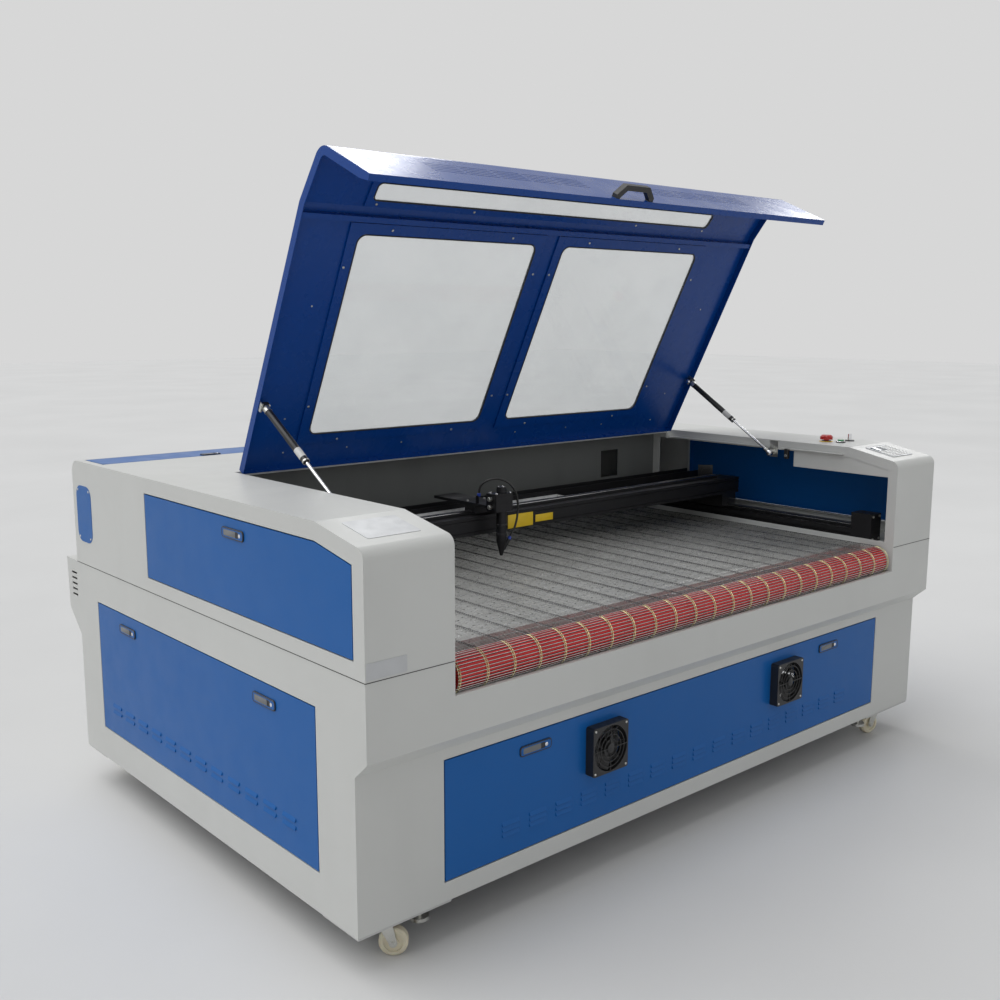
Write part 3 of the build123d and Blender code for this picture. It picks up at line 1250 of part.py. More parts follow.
def gantry_beam():
    """The slotted beam with its rear shelf and chain tray, and the guide on its top."""
    half = INNER + BEAM_OVERHANG
    tray_rear = SHELF_REAR + TRAY_DEPTH
    tray_z = (SHELF_BOTTOM, SHELF_TOP + TRAY_HEIGHT)
    face = area((BEAM_FRONT, BEAM_REAR), (BEAM_BOTTOM, BEAM_TOP))
    face += area((BEAM_REAR, tray_rear), (SHELF_BOTTOM, SHELF_TOP))
    face += area((SHELF_REAR, SHELF_REAR + TRAY_WALL), tray_z)
    face += area((tray_rear - TRAY_WALL, tray_rear), tray_z)
    for z in (BEAM_BOTTOM + BEAM_WALL, BEAM_TOP - BEAM_WALL):
        face -= area((BEAM_FRONT - 1, BEAM_FRONT + BEAM_SLOT), (z - BEAM_SLOT / 2, z + BEAM_SLOT / 2))
    face -= area((BEAM_FRONT + BEAM_SIDE_WALL, BEAM_REAR - BEAM_SIDE_WALL),
                 (BEAM_BOTTOM + BEAM_WALL, BEAM_TOP - BEAM_SIDE_WALL))
    beam = prism_x(face, -half, half)
    y_guide = BEAM_FRONT + BEAM_DEPTH / 2
    reach = INNER - BEAM_GUIDE_INSET
    guide = block((-reach, reach), (y_guide - GUIDE_WIDTH / 2, y_guide + GUIDE_WIDTH / 2),
                  (BEAM_TOP, BEAM_TOP + GUIDE_HEIGHT))
    return [beam, guide]


def drag_chain():
    """The cable chain that lies in the tray from the left end to the head."""
    y_middle = SHELF_REAR + TRAY_DEPTH / 2
    start = HEAD_X - SLIDER_WIDTH / 2 - CHAIN_LINKS * CHAIN_PITCH
    y = (y_middle - CHAIN_WIDTH / 2, y_middle + CHAIN_WIDTH / 2)
    y_waist = (y[0] + CHAIN_WAIST, y[1] - CHAIN_WAIST)
    end = start + CHAIN_LINKS * CHAIN_PITCH
    chain = block((start, end), y_waist,
                  (SHELF_TOP + CHAIN_WAIST_DROP, SHELF_TOP + CHAIN_HEIGHT - CHAIN_WAIST_DROP))
    links = []
    for index in range(CHAIN_LINKS):
        x = start + index * CHAIN_PITCH
        links.append(block((x + CHAIN_GAP / 2, x + CHAIN_PITCH - CHAIN_GAP / 2), y,
                           (SHELF_TOP, SHELF_TOP + CHAIN_HEIGHT)))
    return chain + links


def laser_head():
    """The slider on the beam's guide, its arm, and the block that clamps the lens tube."""
    y_guide = BEAM_FRONT + BEAM_DEPTH / 2
    guide_top = BEAM_TOP + GUIDE_HEIGHT
    half = SLIDER_WIDTH / 2
    base = guide_top - GUIDE_HEIGHT / 2
    slider = block((-half, half), (y_guide - SLIDER_DEPTH / 2, y_guide + SLIDER_DEPTH / 2),
                   (base, guide_top + SLIDER_HEIGHT))
    groove = GUIDE_WIDTH / 2 + RUNNING_GAP
    slider -= block((-half - 1, half + 1), (y_guide - groove, y_guide + groove),
                    (base - 1, guide_top + RUNNING_GAP))
    arm_top = guide_top + SLIDER_HEIGHT + ARM_THICKNESS
    block_rear = HEAD_TUBE_Y + HEAD_BLOCK_DEPTH / 2
    slider += block((-half, half), (block_rear, SHELF_REAR + TRAY_DEPTH / 2),
                    (guide_top + SLIDER_HEIGHT, arm_top))
    x_clip = HOSE_CLIP[0] - HOSE_RADIUS - RUNNING_GAP
    y_clip = HEAD_TUBE_Y + HOSE_CLIP[1]
    slider += block((x_clip - HOSE_RADIUS * 2, x_clip), (y_clip - HOSE_RADIUS, y_clip + HOSE_RADIUS),
                    (arm_top, arm_top + HOSE_CLIP_HEIGHT))
    y = (HEAD_TUBE_Y - HEAD_BLOCK_DEPTH / 2, block_rear)
    z = (HEAD_BLOCK_BOTTOM, HEAD_BLOCK_BOTTOM + HEAD_BLOCK_HEIGHT)
    slider += block((-HEAD_BLOCK_SHIFT, HEAD_BLOCK_WIDTH - HEAD_BLOCK_SHIFT), y, z)
    slider -= bar_z(0, HEAD_TUBE_Y, LENS_TUBE_RADIUS + LENS_TUBE_CLEARANCE, z[0] - 1, z[1] + 1)
    return Pos(HEAD_X, 0, 0) * slider


def lens_tube():
    """The barrel of the focus lens with its nozzle, which slides in the head, and the air fitting."""
    tip = LENS_TUBE_BOTTOM - NOZZLE_LENGTH
    barrel = bar_z(0, 0, LENS_TUBE_RADIUS, LENS_TUBE_BOTTOM, LENS_TUBE_TOP)
    profile = outline([(0, tip), (NOZZLE_TIP_RADIUS, tip), (LENS_TUBE_RADIUS, LENS_TUBE_BOTTOM),
                       (0, LENS_TUBE_BOTTOM)])
    barrel += revolve(Plane.XZ * profile, Axis.Z)
    last, end = Vector(*hose_points()[-2]), Vector(*hose_points()[-1])
    fitting = Plane(end, z_dir=end - last) * Circle(HOSE_FITTING_RADIUS)
    barrel += extrude(fitting, HOSE_FITTING_LENGTH)
    barrel -= bar_z(0, 0, NOZZLE_TIP_RADIUS / 2, tip - 1, LENS_TUBE_BOTTOM)
    return Pos(HEAD_X, HEAD_TUBE_Y, 0) * barrel


def hose_points():
    """The air hose's way from its fitting by the chain, over the head and down to the nozzle."""
    turns = [(-26, 53, 152), (-16, 40, 163), (2, 26, 168), (22, 13, 163), (42, 5, 148), (55, 1, 127),
             (61, 0, 102), (62, 0, 75), (56, 0, 43), (44, 0, 19), (30, 0, 1)]
    rises = (119, 136)
    start = [(*HOSE_CLIP, LENS_TUBE_BOTTOM + rise) for rise in rises]
    return start + [(x, y, LENS_TUBE_BOTTOM + rise) for x, y, rise in turns]


def air_hose():
    """The free hose, as straight runs joined by arcs that are as large as the runs allow."""
    points = [Vector(*point) for point in hose_points()]
    radii = []
    for before, corner, after in zip(points, points[1:], points[2:]):
        turn = (corner - before).get_angle(after - corner)
        run = min((corner - before).length, (after - corner).length)
        radii.append(0.45 * run / math.tan(math.radians(turn) / 2))
    path = FilletPolyline(*points, radius=radii)
    plane = Plane(path @ 0, z_dir=path % 0)
    return Pos(HEAD_X, HEAD_TUBE_Y, 0) * sweep(plane * Circle(HOSE_RADIUS), path=path)


# Casters, made with the swivel axis at the origin and the wheel trailing along X

def caster_fork():
    crown_top = PAD_BOTTOM - RUNNING_GAP
    crown_bottom = crown_top - FORK_CROWN
    fork = bar_z(0, 0, FORK_CROWN_RADIUS, crown_bottom, crown_top)
    half = WHEEL_HUB_WIDTH / 2 + RUNNING_GAP
    cheek_top = crown_bottom + FORK_CROWN / 3
    cheek = outline([(FORK_TOP[0], cheek_top), (FORK_TOP[1], cheek_top),
                     (CASTER_TRAIL + FORK_TIP_RADIUS, WHEEL_RADIUS),
                     (CASTER_TRAIL - FORK_TIP_RADIUS, WHEEL_RADIUS)])
    cheek += Pos(CASTER_TRAIL, WHEEL_RADIUS) * Circle(FORK_TIP_RADIUS)
    fork += prism_y(cheek, half, half + FORK_PLATE)
    fork += prism_y(cheek, -half - FORK_PLATE, -half)
    fork -= bar_z(0, 0, KINGPIN_RADIUS + SHAFT_CLEARANCE, crown_bottom - 1, crown_top + 1)
    reach = half + FORK_PLATE + AXLE_END
    return fork + bar_y(CASTER_TRAIL, WHEEL_RADIUS, AXLE_RADIUS, -reach, reach)


def caster_wheel():
    """A wheel with a bevelled tread and a raised hub, on the fork's axle."""
    half = WHEEL_WIDTH / 2
    hub = WHEEL_HUB_WIDTH / 2
    bore = AXLE_RADIUS + SHAFT_CLEARANCE
    side = [(bore, hub), (WHEEL_HUB_RADIUS, hub), (WHEEL_HUB_RADIUS, half - WHEEL_DISH),
            (WHEEL_DISH_RADIUS, half - WHEEL_DISH), (WHEEL_DISH_RADIUS, half),
            (WHEEL_RADIUS - WHEEL_BEVEL, half), (WHEEL_RADIUS, half - WHEEL_BEVEL)]
    face = outline([(radius, -height) for radius, height in side] + side[::-1])
    wheel = revolve(Plane.XZ * face, Axis.Z)
    return Pos(CASTER_TRAIL, 0, WHEEL_RADIUS) * Rot(90, 0, 0) * wheel


# Controls and plates on the right console

def stem(place, head_radius, head_height, travel):
    """A push control: a head above its collar and a stem through the console's top."""
    x, y = place
    seat = TOP + COLLAR_HEIGHT + travel
    push = bar_z(x, y, head_radius, seat, seat + head_height)
    return push + bar_z(x, y, PLUNGER_RADIUS, TOP - PLUNGER_LENGTH, seat)


def switch_collars():
    """The ring that guides each control, clamped on the console's top."""
    collars = []
    for x, y in (ESTOP_PLACE, BUTTON_PLACE, KEY_PLACE):
        collar = bar_z(x, y, COLLAR_RADIUS, TOP, TOP + COLLAR_HEIGHT)
        collars.append(collar - bar_z(x, y, PLUNGER_RADIUS + PLUNGER_CLEARANCE, TOP - 1,
                                      TOP + COLLAR_HEIGHT + 1))
    return collars


def estop_button():
    head = stem(ESTOP_PLACE, ESTOP_HEAD_RADIUS, ESTOP_HEAD_HEIGHT, ESTOP_TRAVEL)
    rim = head.edges().filter_by(GeomType.CIRCLE).sort_by(Axis.Z)[-1]
    return chamfer(rim, ESTOP_BEVEL)


def start_button():
    return stem(BUTTON_PLACE, BUTTON_HEAD_RADIUS, BUTTON_HEAD_HEIGHT, BUTTON_TRAVEL)


def key_switch():
    """A round barrel with a key standing in it."""
    x, y = KEY_PLACE
    seat = TOP + COLLAR_HEIGHT
    barrel_top = seat + KEY_BARREL_RISE
    barrel = bar_z(x, y, PLUNGER_RADIUS, TOP - PLUNGER_LENGTH, barrel_top)
    return barrel + block((x - KEY_WIDTH / 2, x + KEY_WIDTH / 2),
                          (y - KEY_THICKNESS / 2, y + KEY_THICKNESS / 2),
                          (barrel_top, seat + KEY_HEIGHT))


def control_tray():
    """The folded sheet under the right console's top that covers the switches from the chamber."""
    rear = TRAY_PANEL_FRONT + TRAY_PANEL_LENGTH
    face = grown(upper_outline(), -SHEET - TRAY_PANEL_GAP) & area(
        (TRAY_PANEL_FRONT, rear), (TOP - TRAY_PANEL_DEPTH, TOP))
    inner = INNER + SHEET
    tray = prism_x(face, inner, inner + SHEET)
    return tray + block((inner, HALF - DOOR_COLLAR - SHEET), (TRAY_PANEL_FRONT, rear),
                        (TOP - TRAY_PANEL_DEPTH, TOP - TRAY_PANEL_DEPTH + SHEET))


def panel_plates():
    """The keypad on the right slope, and two bare plates, on the left slope and the front face."""
    plates = []
    run = math.hypot(CONSOLE_SLOPE_RUN, CONSOLE_SLOPE_DROP) / 2 - SLOPE_PLATE_SHIFT
    for x, (width, length) in ((-CONSOLE_MIDDLE, SLOPE_PLATE), (CONSOLE_MIDDLE, KEYPAD)):
        face = RectangleRounded(width, length, PLATE_ROUND)
        plates.append(on_slope(Pos(x, -run, 0) * prism_z(face, 0, PLATE_THICKNESS)))
    place = Pos(FRONT_PLATE_INSET - HALF, SEAM + FRONT_PLATE_RISE)
    front = place * RectangleRounded(*FRONT_PLATE, FRONT_PLATE_ROUND)
    plates.append(prism_y(front, -PLATE_THICKNESS, 0))
    return plates


def placed_caster(solid, name):
    x, y = caster_places()[name]
    return Pos(x, y, 0) * Rot(0, 0, -CASTER_TURNS[name]) * solid


def nodes():
    """Every separate piece of the machine, by name."""
    left_skin_solid = left_skin()
    made = {
        "base_frame": [base_frame()],
        "lower_front_skin": [front_skin()],
        "lower_left_skin": [left_skin_solid],
        "lower_right_skin": [mirrored(left_skin_solid)],
        "lower_rear_skin": [rear_skin()],
        "rear_box": rear_box(),
        "rear_box_ends": rear_box_ends(),
        "exhaust_spigots": exhaust_spigots(),
        "levelling_feet": levelling_feet(),
        "left_console": [left_console()],
        "right_console": [mirrored(left_console(right=True))],
        "rear_housing": [rear_housing()],
        "chamber_rear_wall": [chamber_rear_wall()],
        "side_covers": side_covers(),
        "laser_tube": [laser_tube()],
        "tube_cover": tube_cover(),
        "front_door": front_door(),
        "left_lower_door": left_lower_door(),
        "right_lower_door": mirrored_all(left_lower_door()),
        "left_upper_door": left_upper_door(),
        "right_upper_door": mirrored_all(left_upper_door()),
        "fan_cases": [fan_place(x) * fan_case() for x in (-FAN_OFFSET, FAN_OFFSET)],
        "left_fan_rotor": [fan_place(-FAN_OFFSET) * fan_rotor()],
        "right_fan_rotor": [fan_place(FAN_OFFSET) * fan_rotor()],
        "bed_plate": [bed_plate()],
        "mesh_belt": [mesh_belt()],
        "front_roller": [roller(FRONT_ROLLER_Y)],
        "rear_roller": [roller(REAR_ROLLER_Y)],
        "roller_bearings": roller_bearings(),
        "lid_frame": [lid_frame()],
        "lid_windows": lid_windows(),
        "window_retainers": window_retainers(),
        "lid_handle": [lid_handle()],
        "lid_fittings": lid_fittings(),
        "lid_mountings": lid_mountings(),
        "left_strut_rod": [left_strut_rod()],
        "left_strut_tube": [left_strut_tube()],
        "right_strut_rod": [mirrored(left_strut_rod())],
        "right_strut_tube": [mirrored(left_strut_tube())],
        "y_rails": y_rails(),
        "gantry_carriages": gantry_carriages(),
        "gantry_beam": gantry_beam(),
        "drag_chain": [drag_chain()],
        "laser_head": [laser_head()],
        "lens_tube": [lens_tube()],
        "air_hose": [air_hose()],
        "control_tray": [control_tray()],
        "panel_plates": panel_plates(),
        "switch_collars": switch_collars(),
        "estop_button": [estop_button()],
        "start_button": [start_button()],
        "key_switch": [key_switch()],
    }
    for name in caster_places():
        made["caster_fork_" + name] = [placed_caster(caster_fork(), name)]
        made["caster_wheel_" + name] = [placed_caster(caster_wheel(), name)]
    return made


def write_parts():
    os.makedirs("parts", exist_ok=True)
    for name, solids in nodes().items():
        solids = [solid for piece in solids for solid in piece.solids()]
        shifted = [Pos(0, -MIDDLE_Y, 0) * solid for solid in solids]
        export_step(shifted[0] if len(shifted) == 1 else Compound(children=shifted),
                    "parts/" + name + ".step")


write_parts()
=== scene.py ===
"""Looks of a conveyor-bed laser engraver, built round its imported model.

Sizes are millimetres in the drawing's own layout: X = 0 on the centre plane, Y = 0 on the front face
of the housing and Z = 0 on the floor. Layout.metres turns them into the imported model's metres.
"""

from __future__ import annotations

import logging
import math
from dataclasses import dataclass, field
from enum import Enum
from typing import Any, Iterable, Sequence

import bpy
import numpy as np
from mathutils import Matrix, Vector

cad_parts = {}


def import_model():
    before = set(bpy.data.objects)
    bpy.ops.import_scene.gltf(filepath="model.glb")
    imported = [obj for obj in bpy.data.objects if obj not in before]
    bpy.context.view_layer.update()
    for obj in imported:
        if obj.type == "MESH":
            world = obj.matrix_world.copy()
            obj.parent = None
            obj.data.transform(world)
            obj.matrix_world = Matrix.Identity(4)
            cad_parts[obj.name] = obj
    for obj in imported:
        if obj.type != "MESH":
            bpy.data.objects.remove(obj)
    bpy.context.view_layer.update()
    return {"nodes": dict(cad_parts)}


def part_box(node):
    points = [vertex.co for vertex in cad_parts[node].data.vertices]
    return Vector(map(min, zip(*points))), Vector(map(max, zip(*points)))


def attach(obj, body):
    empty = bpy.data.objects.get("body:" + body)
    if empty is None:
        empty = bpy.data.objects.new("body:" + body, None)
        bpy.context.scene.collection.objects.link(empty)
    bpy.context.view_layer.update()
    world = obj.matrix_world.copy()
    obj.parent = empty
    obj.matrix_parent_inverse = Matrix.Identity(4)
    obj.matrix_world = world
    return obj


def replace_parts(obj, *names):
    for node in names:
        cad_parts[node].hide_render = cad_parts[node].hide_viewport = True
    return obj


LOG = logging.getLogger("engraver")
Colour = tuple[float, float, float]
Place = tuple[float, float, float]
PER_METRE = 1000.0


# Surfaces


@dataclass(frozen=True)
class Shape:
    """A surface: its points, and its faces as one row of corners with each face's count of them."""

    points: np.ndarray
    corners: np.ndarray
    sizes: np.ndarray

    def __add__(self, other: "Shape") -> "Shape":
        """Both surfaces as one."""
        return Shape(
            np.concatenate([self.points, other.points]),
            np.concatenate([self.corners, other.corners + len(self.points)]),
            np.concatenate([self.sizes, other.sizes]),
        )

    def moved(self, x: float = 0.0, y: float = 0.0, z: float = 0.0) -> "Shape":
        """The surface carried along each axis."""
        return Shape(self.points + np.array([x, y, z]), self.corners, self.sizes)

    def turned(self, axes: np.ndarray) -> "Shape":
        """The surface with its own X, Y and Z laid along the columns of the matrix."""
        return Shape(self.points @ np.asarray(axes, float).T, self.corners, self.sizes)

    def mirrored(self) -> "Shape":
        """The surface on the other side of the centre plane, with its faces still outwards."""
        return Shape(self.points * (-1.0, 1.0, 1.0), self.corners[::-1], self.sizes[::-1])

    def repeated(self, offsets: np.ndarray, turns: np.ndarray | None = None) -> "Shape":
        """Copies of the surface as one.

        Args:
            offsets: where each copy goes, one row each.
            turns: a turning matrix for each copy, or None where none is turned.

        Returns:
            The copies: copy k holds turn k times each point, plus offset k.
        """
        offsets = np.atleast_2d(np.asarray(offsets, float))
        count = len(offsets)
        if turns is None:
            points = np.broadcast_to(self.points, (count, *self.points.shape))
        else:
            points = np.einsum("kij,nj->kni", turns, self.points)
        points = (points + offsets[:, None, :]).reshape(-1, 3)
        step = np.arange(count)[:, None] * len(self.points)
        return Shape(points, (self.corners[None, :] + step).reshape(-1), np.tile(self.sizes, count))


def joined(shapes: Iterable[Shape]) -> Shape:
    """All the surfaces as one.

    Args:
        shapes: the surfaces, in order.

    Returns:
        Their points one after another, and their faces with each corner's number moved on to match.
    """
    found = list(shapes)
    starts = np.cumsum([0] + [len(shape.points) for shape in found[:-1]])
    return Shape(
        np.concatenate([shape.points for shape in found]),
        np.concatenate([shape.corners + start for shape, start in zip(found, starts)]),
        np.concatenate([shape.sizes for shape in found]),
    )


def skin(grid: np.ndarray, around: bool = True, capped: bool = True) -> Shape:
    """A surface over a grid of points.

    Face (i, j) joins the points (i, j), (i, j + 1), (i + 1, j + 1) and (i + 1, j). Where the columns
    run counter-clockwise and the rows go up, the faces point outwards.

    Args:
        grid: points of shape (rows, columns, 3).
        around: whether the last column joins the first.
        capped: whether the first and the last row are closed by one flat face each.

    Returns:
        The surface.
    """
    rows, columns = grid.shape[:2]
    index = np.arange(rows * columns).reshape(rows, columns)
    wrapped = np.concatenate([index, index[:, :1]], axis=1) if around else index
    quads = np.stack([wrapped[:-1, :-1], wrapped[:-1, 1:], wrapped[1:, 1:], wrapped[1:, :-1]], axis=-1)
    corners = [quads.reshape(-1)]
    sizes = [np.full(quads.size // 4, 4)]
    if capped:
        corners += [index[0, ::-1], index[-1]]
        sizes += [np.array([columns, columns])]
    return Shape(grid.reshape(-1, 3).astype(float), np.concatenate(corners), np.concatenate(sizes))


def quad(corners: Sequence[Place]) -> Shape:
    """One flat face of four corners, counter-clockwise as seen from outside."""
    return Shape(np.array(corners, float), np.arange(4), np.array([4]))


def ring(sides: int) -> np.ndarray:
    """The corners of a regular outline of radius 1, counter-clockwise from the X axis."""
    angle = np.arange(sides) * 2 * math.pi / sides
    return np.stack([np.cos(angle), np.sin(angle)], axis=-1)


def lathe(radii: Sequence[float], heights: Sequence[float], sides: int = 24) -> Shape:
    """A turned piece about Z: at height h the outline is a circle of that height's radius.

    Args:
        radii: the radius at each step of the profile.
        heights: the height at each step, from the bottom up.
        sides: the number of faces round the piece.

    Returns:
        The closed piece.
    """
    flat = np.asarray(radii, float)[:, None, None] * ring(sides)[None]
    lift = np.broadcast_to(np.asarray(heights, float)[:, None, None], (len(heights), sides, 1))
    return skin(np.concatenate([flat, lift], axis=-1))


def pad(width: float, height: float, radius: float, steps: Sequence[tuple[float, float]],
        corner: int = 4) -> Shape:
    """A rounded rectangular piece in X and Y, built up along Z.

    The outline is, for each quarter, the corner's centre plus its radius times (cos a, sin a). At each
    step it is drawn in by the inset, so that a chamfer, a rim or a pocket is a few steps.

    Args:
        width: the size along X.
        height: the size along Y.
        radius: the corner radius at no inset.
        steps: pairs of inset and height along Z, from the bottom up.
        corner: the number of faces round each corner.

    Returns:
        The closed piece.
    """
    inset, lift = np.array(steps, float).T
    quarter = np.repeat(np.arange(4), corner + 1)
    angle = np.radians(90.0) * (quarter + np.tile(np.arange(corner + 1) / corner, 4))
    sign_x = np.array([1, -1, -1, 1])[quarter]
    sign_y = np.array([1, 1, -1, -1])[quarter]
    bend = np.clip(radius - inset, 0.05, None)[:, None]
    x = sign_x * (width / 2 - inset[:, None] - bend) + bend * np.cos(angle)
    y = sign_y * (height / 2 - inset[:, None] - bend) + bend * np.sin(angle)
    z = np.broadcast_to(lift[:, None], x.shape)
    return skin(np.stack([x, y, z], axis=-1))


def block(width: float, depth: float, height: float, edge: float = 0.6, radius: float = 0.8) -> Shape:
    """A box on Z = 0 with its edges broken by a small chamfer."""
    return pad(width, depth, radius, [(edge, 0), (0, edge), (0, height - edge), (edge, height)], 1)


def frame_along(direction: np.ndarray) -> np.ndarray:
    """Turning matrices that lay a piece's Z along each direction.

    The side is the cross product of a helper axis and the direction, and the third axis is the cross
    product of the direction and the side.

    Args:
        direction: the directions, one row each, of any length.

    Returns:
        One matrix for each row, with the side, the third axis and the direction as its columns.
    """
    forward = direction / np.linalg.norm(direction, axis=-1, keepdims=True)
    helper = np.where(np.abs(forward[..., 2:]) > 0.9, np.array([1.0, 0, 0]), np.array([0, 0, 1.0]))
    side = np.cross(helper, forward)
    side /= np.linalg.norm(side, axis=-1, keepdims=True)
    return np.stack([side, np.cross(forward, side), forward], axis=-1)


def rods(starts: np.ndarray, ends: np.ndarray, radius: float, sides: int = 6, capped: bool = True) -> Shape:
    """Straight round rods, all at once: a circle of the radius carried from each start to its end.

    Args:
        starts: where each rod starts, one row each.
        ends: where each rod ends, one row each.
        radius: the radius of every rod.
        sides: the number of faces round each rod.
        capped: whether the ends are closed.

    Returns:
        All the rods as one surface.
    """
    starts = np.atleast_2d(np.asarray(starts, float))
    ends = np.atleast_2d(np.asarray(ends, float))
    axes = frame_along(ends - starts)
    flat = radius * ring(sides)
    circle = flat[None, :, :1] * axes[:, None, :, 0] + flat[None, :, 1:] * axes[:, None, :, 1]
    one = skin(np.zeros((2, sides, 3)), capped=capped)
    points = np.stack([starts[:, None] + circle, ends[:, None] + circle], axis=1).reshape(-1, 3)
    step = np.arange(len(starts))[:, None] * 2 * sides
    return Shape(points, (one.corners[None] + step).reshape(-1), np.tile(one.sizes, len(starts)))


def tube(path: np.ndarray, radius: float, sides: int) -> Shape:
    """A circle carried along a path, turned at each point to the path's direction there.

    Args:
        path: the points of the middle line, one row each.
        radius: the circle's radius.
        sides: the number of faces round the tube.

    Returns:
        The tube, closed at both ends.
    """
    axes = frame_along(np.gradient(path, axis=0))
    flat = radius * ring(sides)
    return skin(path[:, None] + flat[None, :, :1] * axes[:, None, :, 0]
                + flat[None, :, 1:] * axes[:, None, :, 1])


def sleeve(outer: float, inner: float, low: float, high: float, sides: int = 24) -> Shape:
    """A pipe about Z: the closed section goes up its outer wall and back down its inner one.

    Args:
        outer: the radius outside.
        inner: the radius of the bore.
        low: the height of the lower end.
        high: the height of the upper end.
        sides: the number of faces round the pipe.

    Returns:
        The pipe, closed all round its wall.
    """
    section = [(inner, low), (outer, low), (outer, high), (inner, high), (inner, low)]
    rows = [np.column_stack([radius * ring(sides), np.full(sides, z)]) for radius, z in section]
    return skin(np.stack(rows), capped=False)


def along(direction: Place) -> np.ndarray:
    """The turning matrix that lays a piece's Z along one direction."""
    return frame_along(np.array([direction], float))[0]


def turn_x(degrees: float) -> np.ndarray:
    """The turning matrix about X."""
    c, s = math.cos(math.radians(degrees)), math.sin(math.radians(degrees))
    return np.array([[1, 0, 0], [0, c, -s], [0, s, c]])


def turn_z(degrees: float) -> np.ndarray:
    """The turning matrix about Z."""
    c, s = math.cos(math.radians(degrees)), math.sin(math.radians(degrees))
    return np.array([[c, -s, 0], [s, c, 0], [0, 0, 1]])


class Wall(Enum):
    """A face of the housing: the directions of a piece's own X, Y and Z when it is set on it."""

    FRONT = ((1, 0, 0), (0, 0, 1), (0, -1, 0))
    LEFT = ((0, -1, 0), (0, 0, 1), (-1, 0, 0))
    RIGHT = ((0, 1, 0), (0, 0, 1), (1, 0, 0))
    UNDER = ((1, 0, 0), (0, -1, 0), (0, 0, -1))
    TOP = ((1, 0, 0), (0, 1, 0), (0, 0, 1))

    @property
    def axes(self) -> np.ndarray:
        """The turning matrix for this face."""
        return np.array(self.value, float).T


# Finishes


class Recipe:
    """One material's node tree, put together step by step."""

    def __init__(self, name: str) -> None:
        """Starts a material with one Principled shader.

        Args:
            name: the material's name.
        """
        self.material = bpy.data.materials.new(name)
        self.material.use_nodes = True
        self.tree = self.material.node_tree
        self.shader = self.tree.nodes["Principled BSDF"]
        self.place = self.tree.nodes.new("ShaderNodeTexCoord").outputs["Object"]

    def feed(self, socket: Any, value: Any) -> None:
        """Links the socket to another one, or sets a plain value on it.

        Args:
            socket: the input that is fed.
            value: an output socket or a plain value.
        """
        if isinstance(value, bpy.types.NodeSocket):
            self.tree.links.new(value, socket)
        else:
            socket.default_value = value

    def node(self, kind: str, inputs: dict[Any, Any], output: int = 0, **settings: Any) -> Any:
        """Adds a node.

        Args:
            kind: the node's type without its prefix.
            inputs: a value or a socket for each input, by name or by number.
            output: the number of the output that is wanted.
            settings: the node's own options.

        Returns:
            The output socket.
        """
        made = self.tree.nodes.new("ShaderNode" + kind)
        for key, value in settings.items():
            setattr(made, key, value)
        for key, value in inputs.items():
            self.feed(made.inputs[key], value)
        return made.outputs[output]

    def noise(self, scale: float, detail: float, stretch: Place | None = None) -> Any:
        """Soft random spots.

        Args:
            scale: about how many spots there are in a metre.
            detail: how many finer layers lie over them.
            stretch: how much closer they lie along each axis, or None for round ones.

        Returns:
            The socket with the spots' strength.
        """
        place = self.place
        if stretch is not None:
            place = self.node("Mapping", {"Vector": place, "Scale": stretch})
        return self.node("TexNoise", {"Vector": place, "Scale": scale, "Detail": detail})

    def spread(self, value: Any, low: float, high: float, start: float = 0.3, end: float = 0.7) -> Any:
        """The value's range from start to end, laid out from low to high."""
        return self.node("MapRange", {0: value, 1: start, 2: end, 3: low, 4: high})

    def mix(self, factor: Any, first: Any, second: Any) -> Any:
        """A blend of two colours."""
        pair = [(*c, 1.0) if isinstance(c, tuple) else c for c in (first, second)]
        return self.node("Mix", {0: factor, 6: pair[0], 7: pair[1]}, output=2, data_type="RGBA")

    def math(self, operation: str, first: Any, second: Any = 0.0) -> Any:
        """One step of arithmetic."""
        return self.node("Math", {0: first, 1: second}, operation=operation)

    def axis(self, number: int) -> Any:
        """One coordinate of the place on the piece, in metres."""
        return self.node("SeparateXYZ", {0: self.place}, output=number)

    def bump(self, height: Any, depth: float, strength: float, before: Any = None) -> Any:
        """A relief in the surface.

        Args:
            height: the socket that gives the height, from 0 to 1.
            depth: the full height in metres.
            strength: how strongly it shows.
            before: the normal of an earlier relief, or None.

        Returns:
            The socket with the new normal.
        """
        inputs = {"Height": height, "Distance": depth, "Strength": strength}
        if before is not None:
            inputs["Normal"] = before
        return self.node("Bump", inputs)

    def finish(self, **inputs: Any) -> bpy.types.Material:
        """Feeds the shader's inputs and gives the material.

        Args:
            inputs: a value or a socket for each input, its name written with underscores for spaces.

        Returns:
            The finished material.
        """
        for key, value in inputs.items():
            if isinstance(value, tuple) and len(value) == 3:
                value = (*value, 1.0)
            self.feed(self.shader.inputs[key.replace("_", " ")], value)
        return self.material


def shade(colour: Colour, factor: float) -> Colour:
    """The colour made lighter or darker."""
    return tuple(min(1.0, channel * factor) for channel in colour)


@dataclass(frozen=True)
class Finish:
    """What every finish has: its name, the record's slot, a colour and a roughness."""

    name: str
    slot: str
    colour: Colour
    roughness: float

    def make(self) -> bpy.types.Material:
        """Makes the material's node tree."""
        raise NotImplementedError

    @property
    def material(self) -> bpy.types.Material:
        """The material, made the first time that it is wanted."""
        return bpy.data.materials.get(self.name) or self.make()


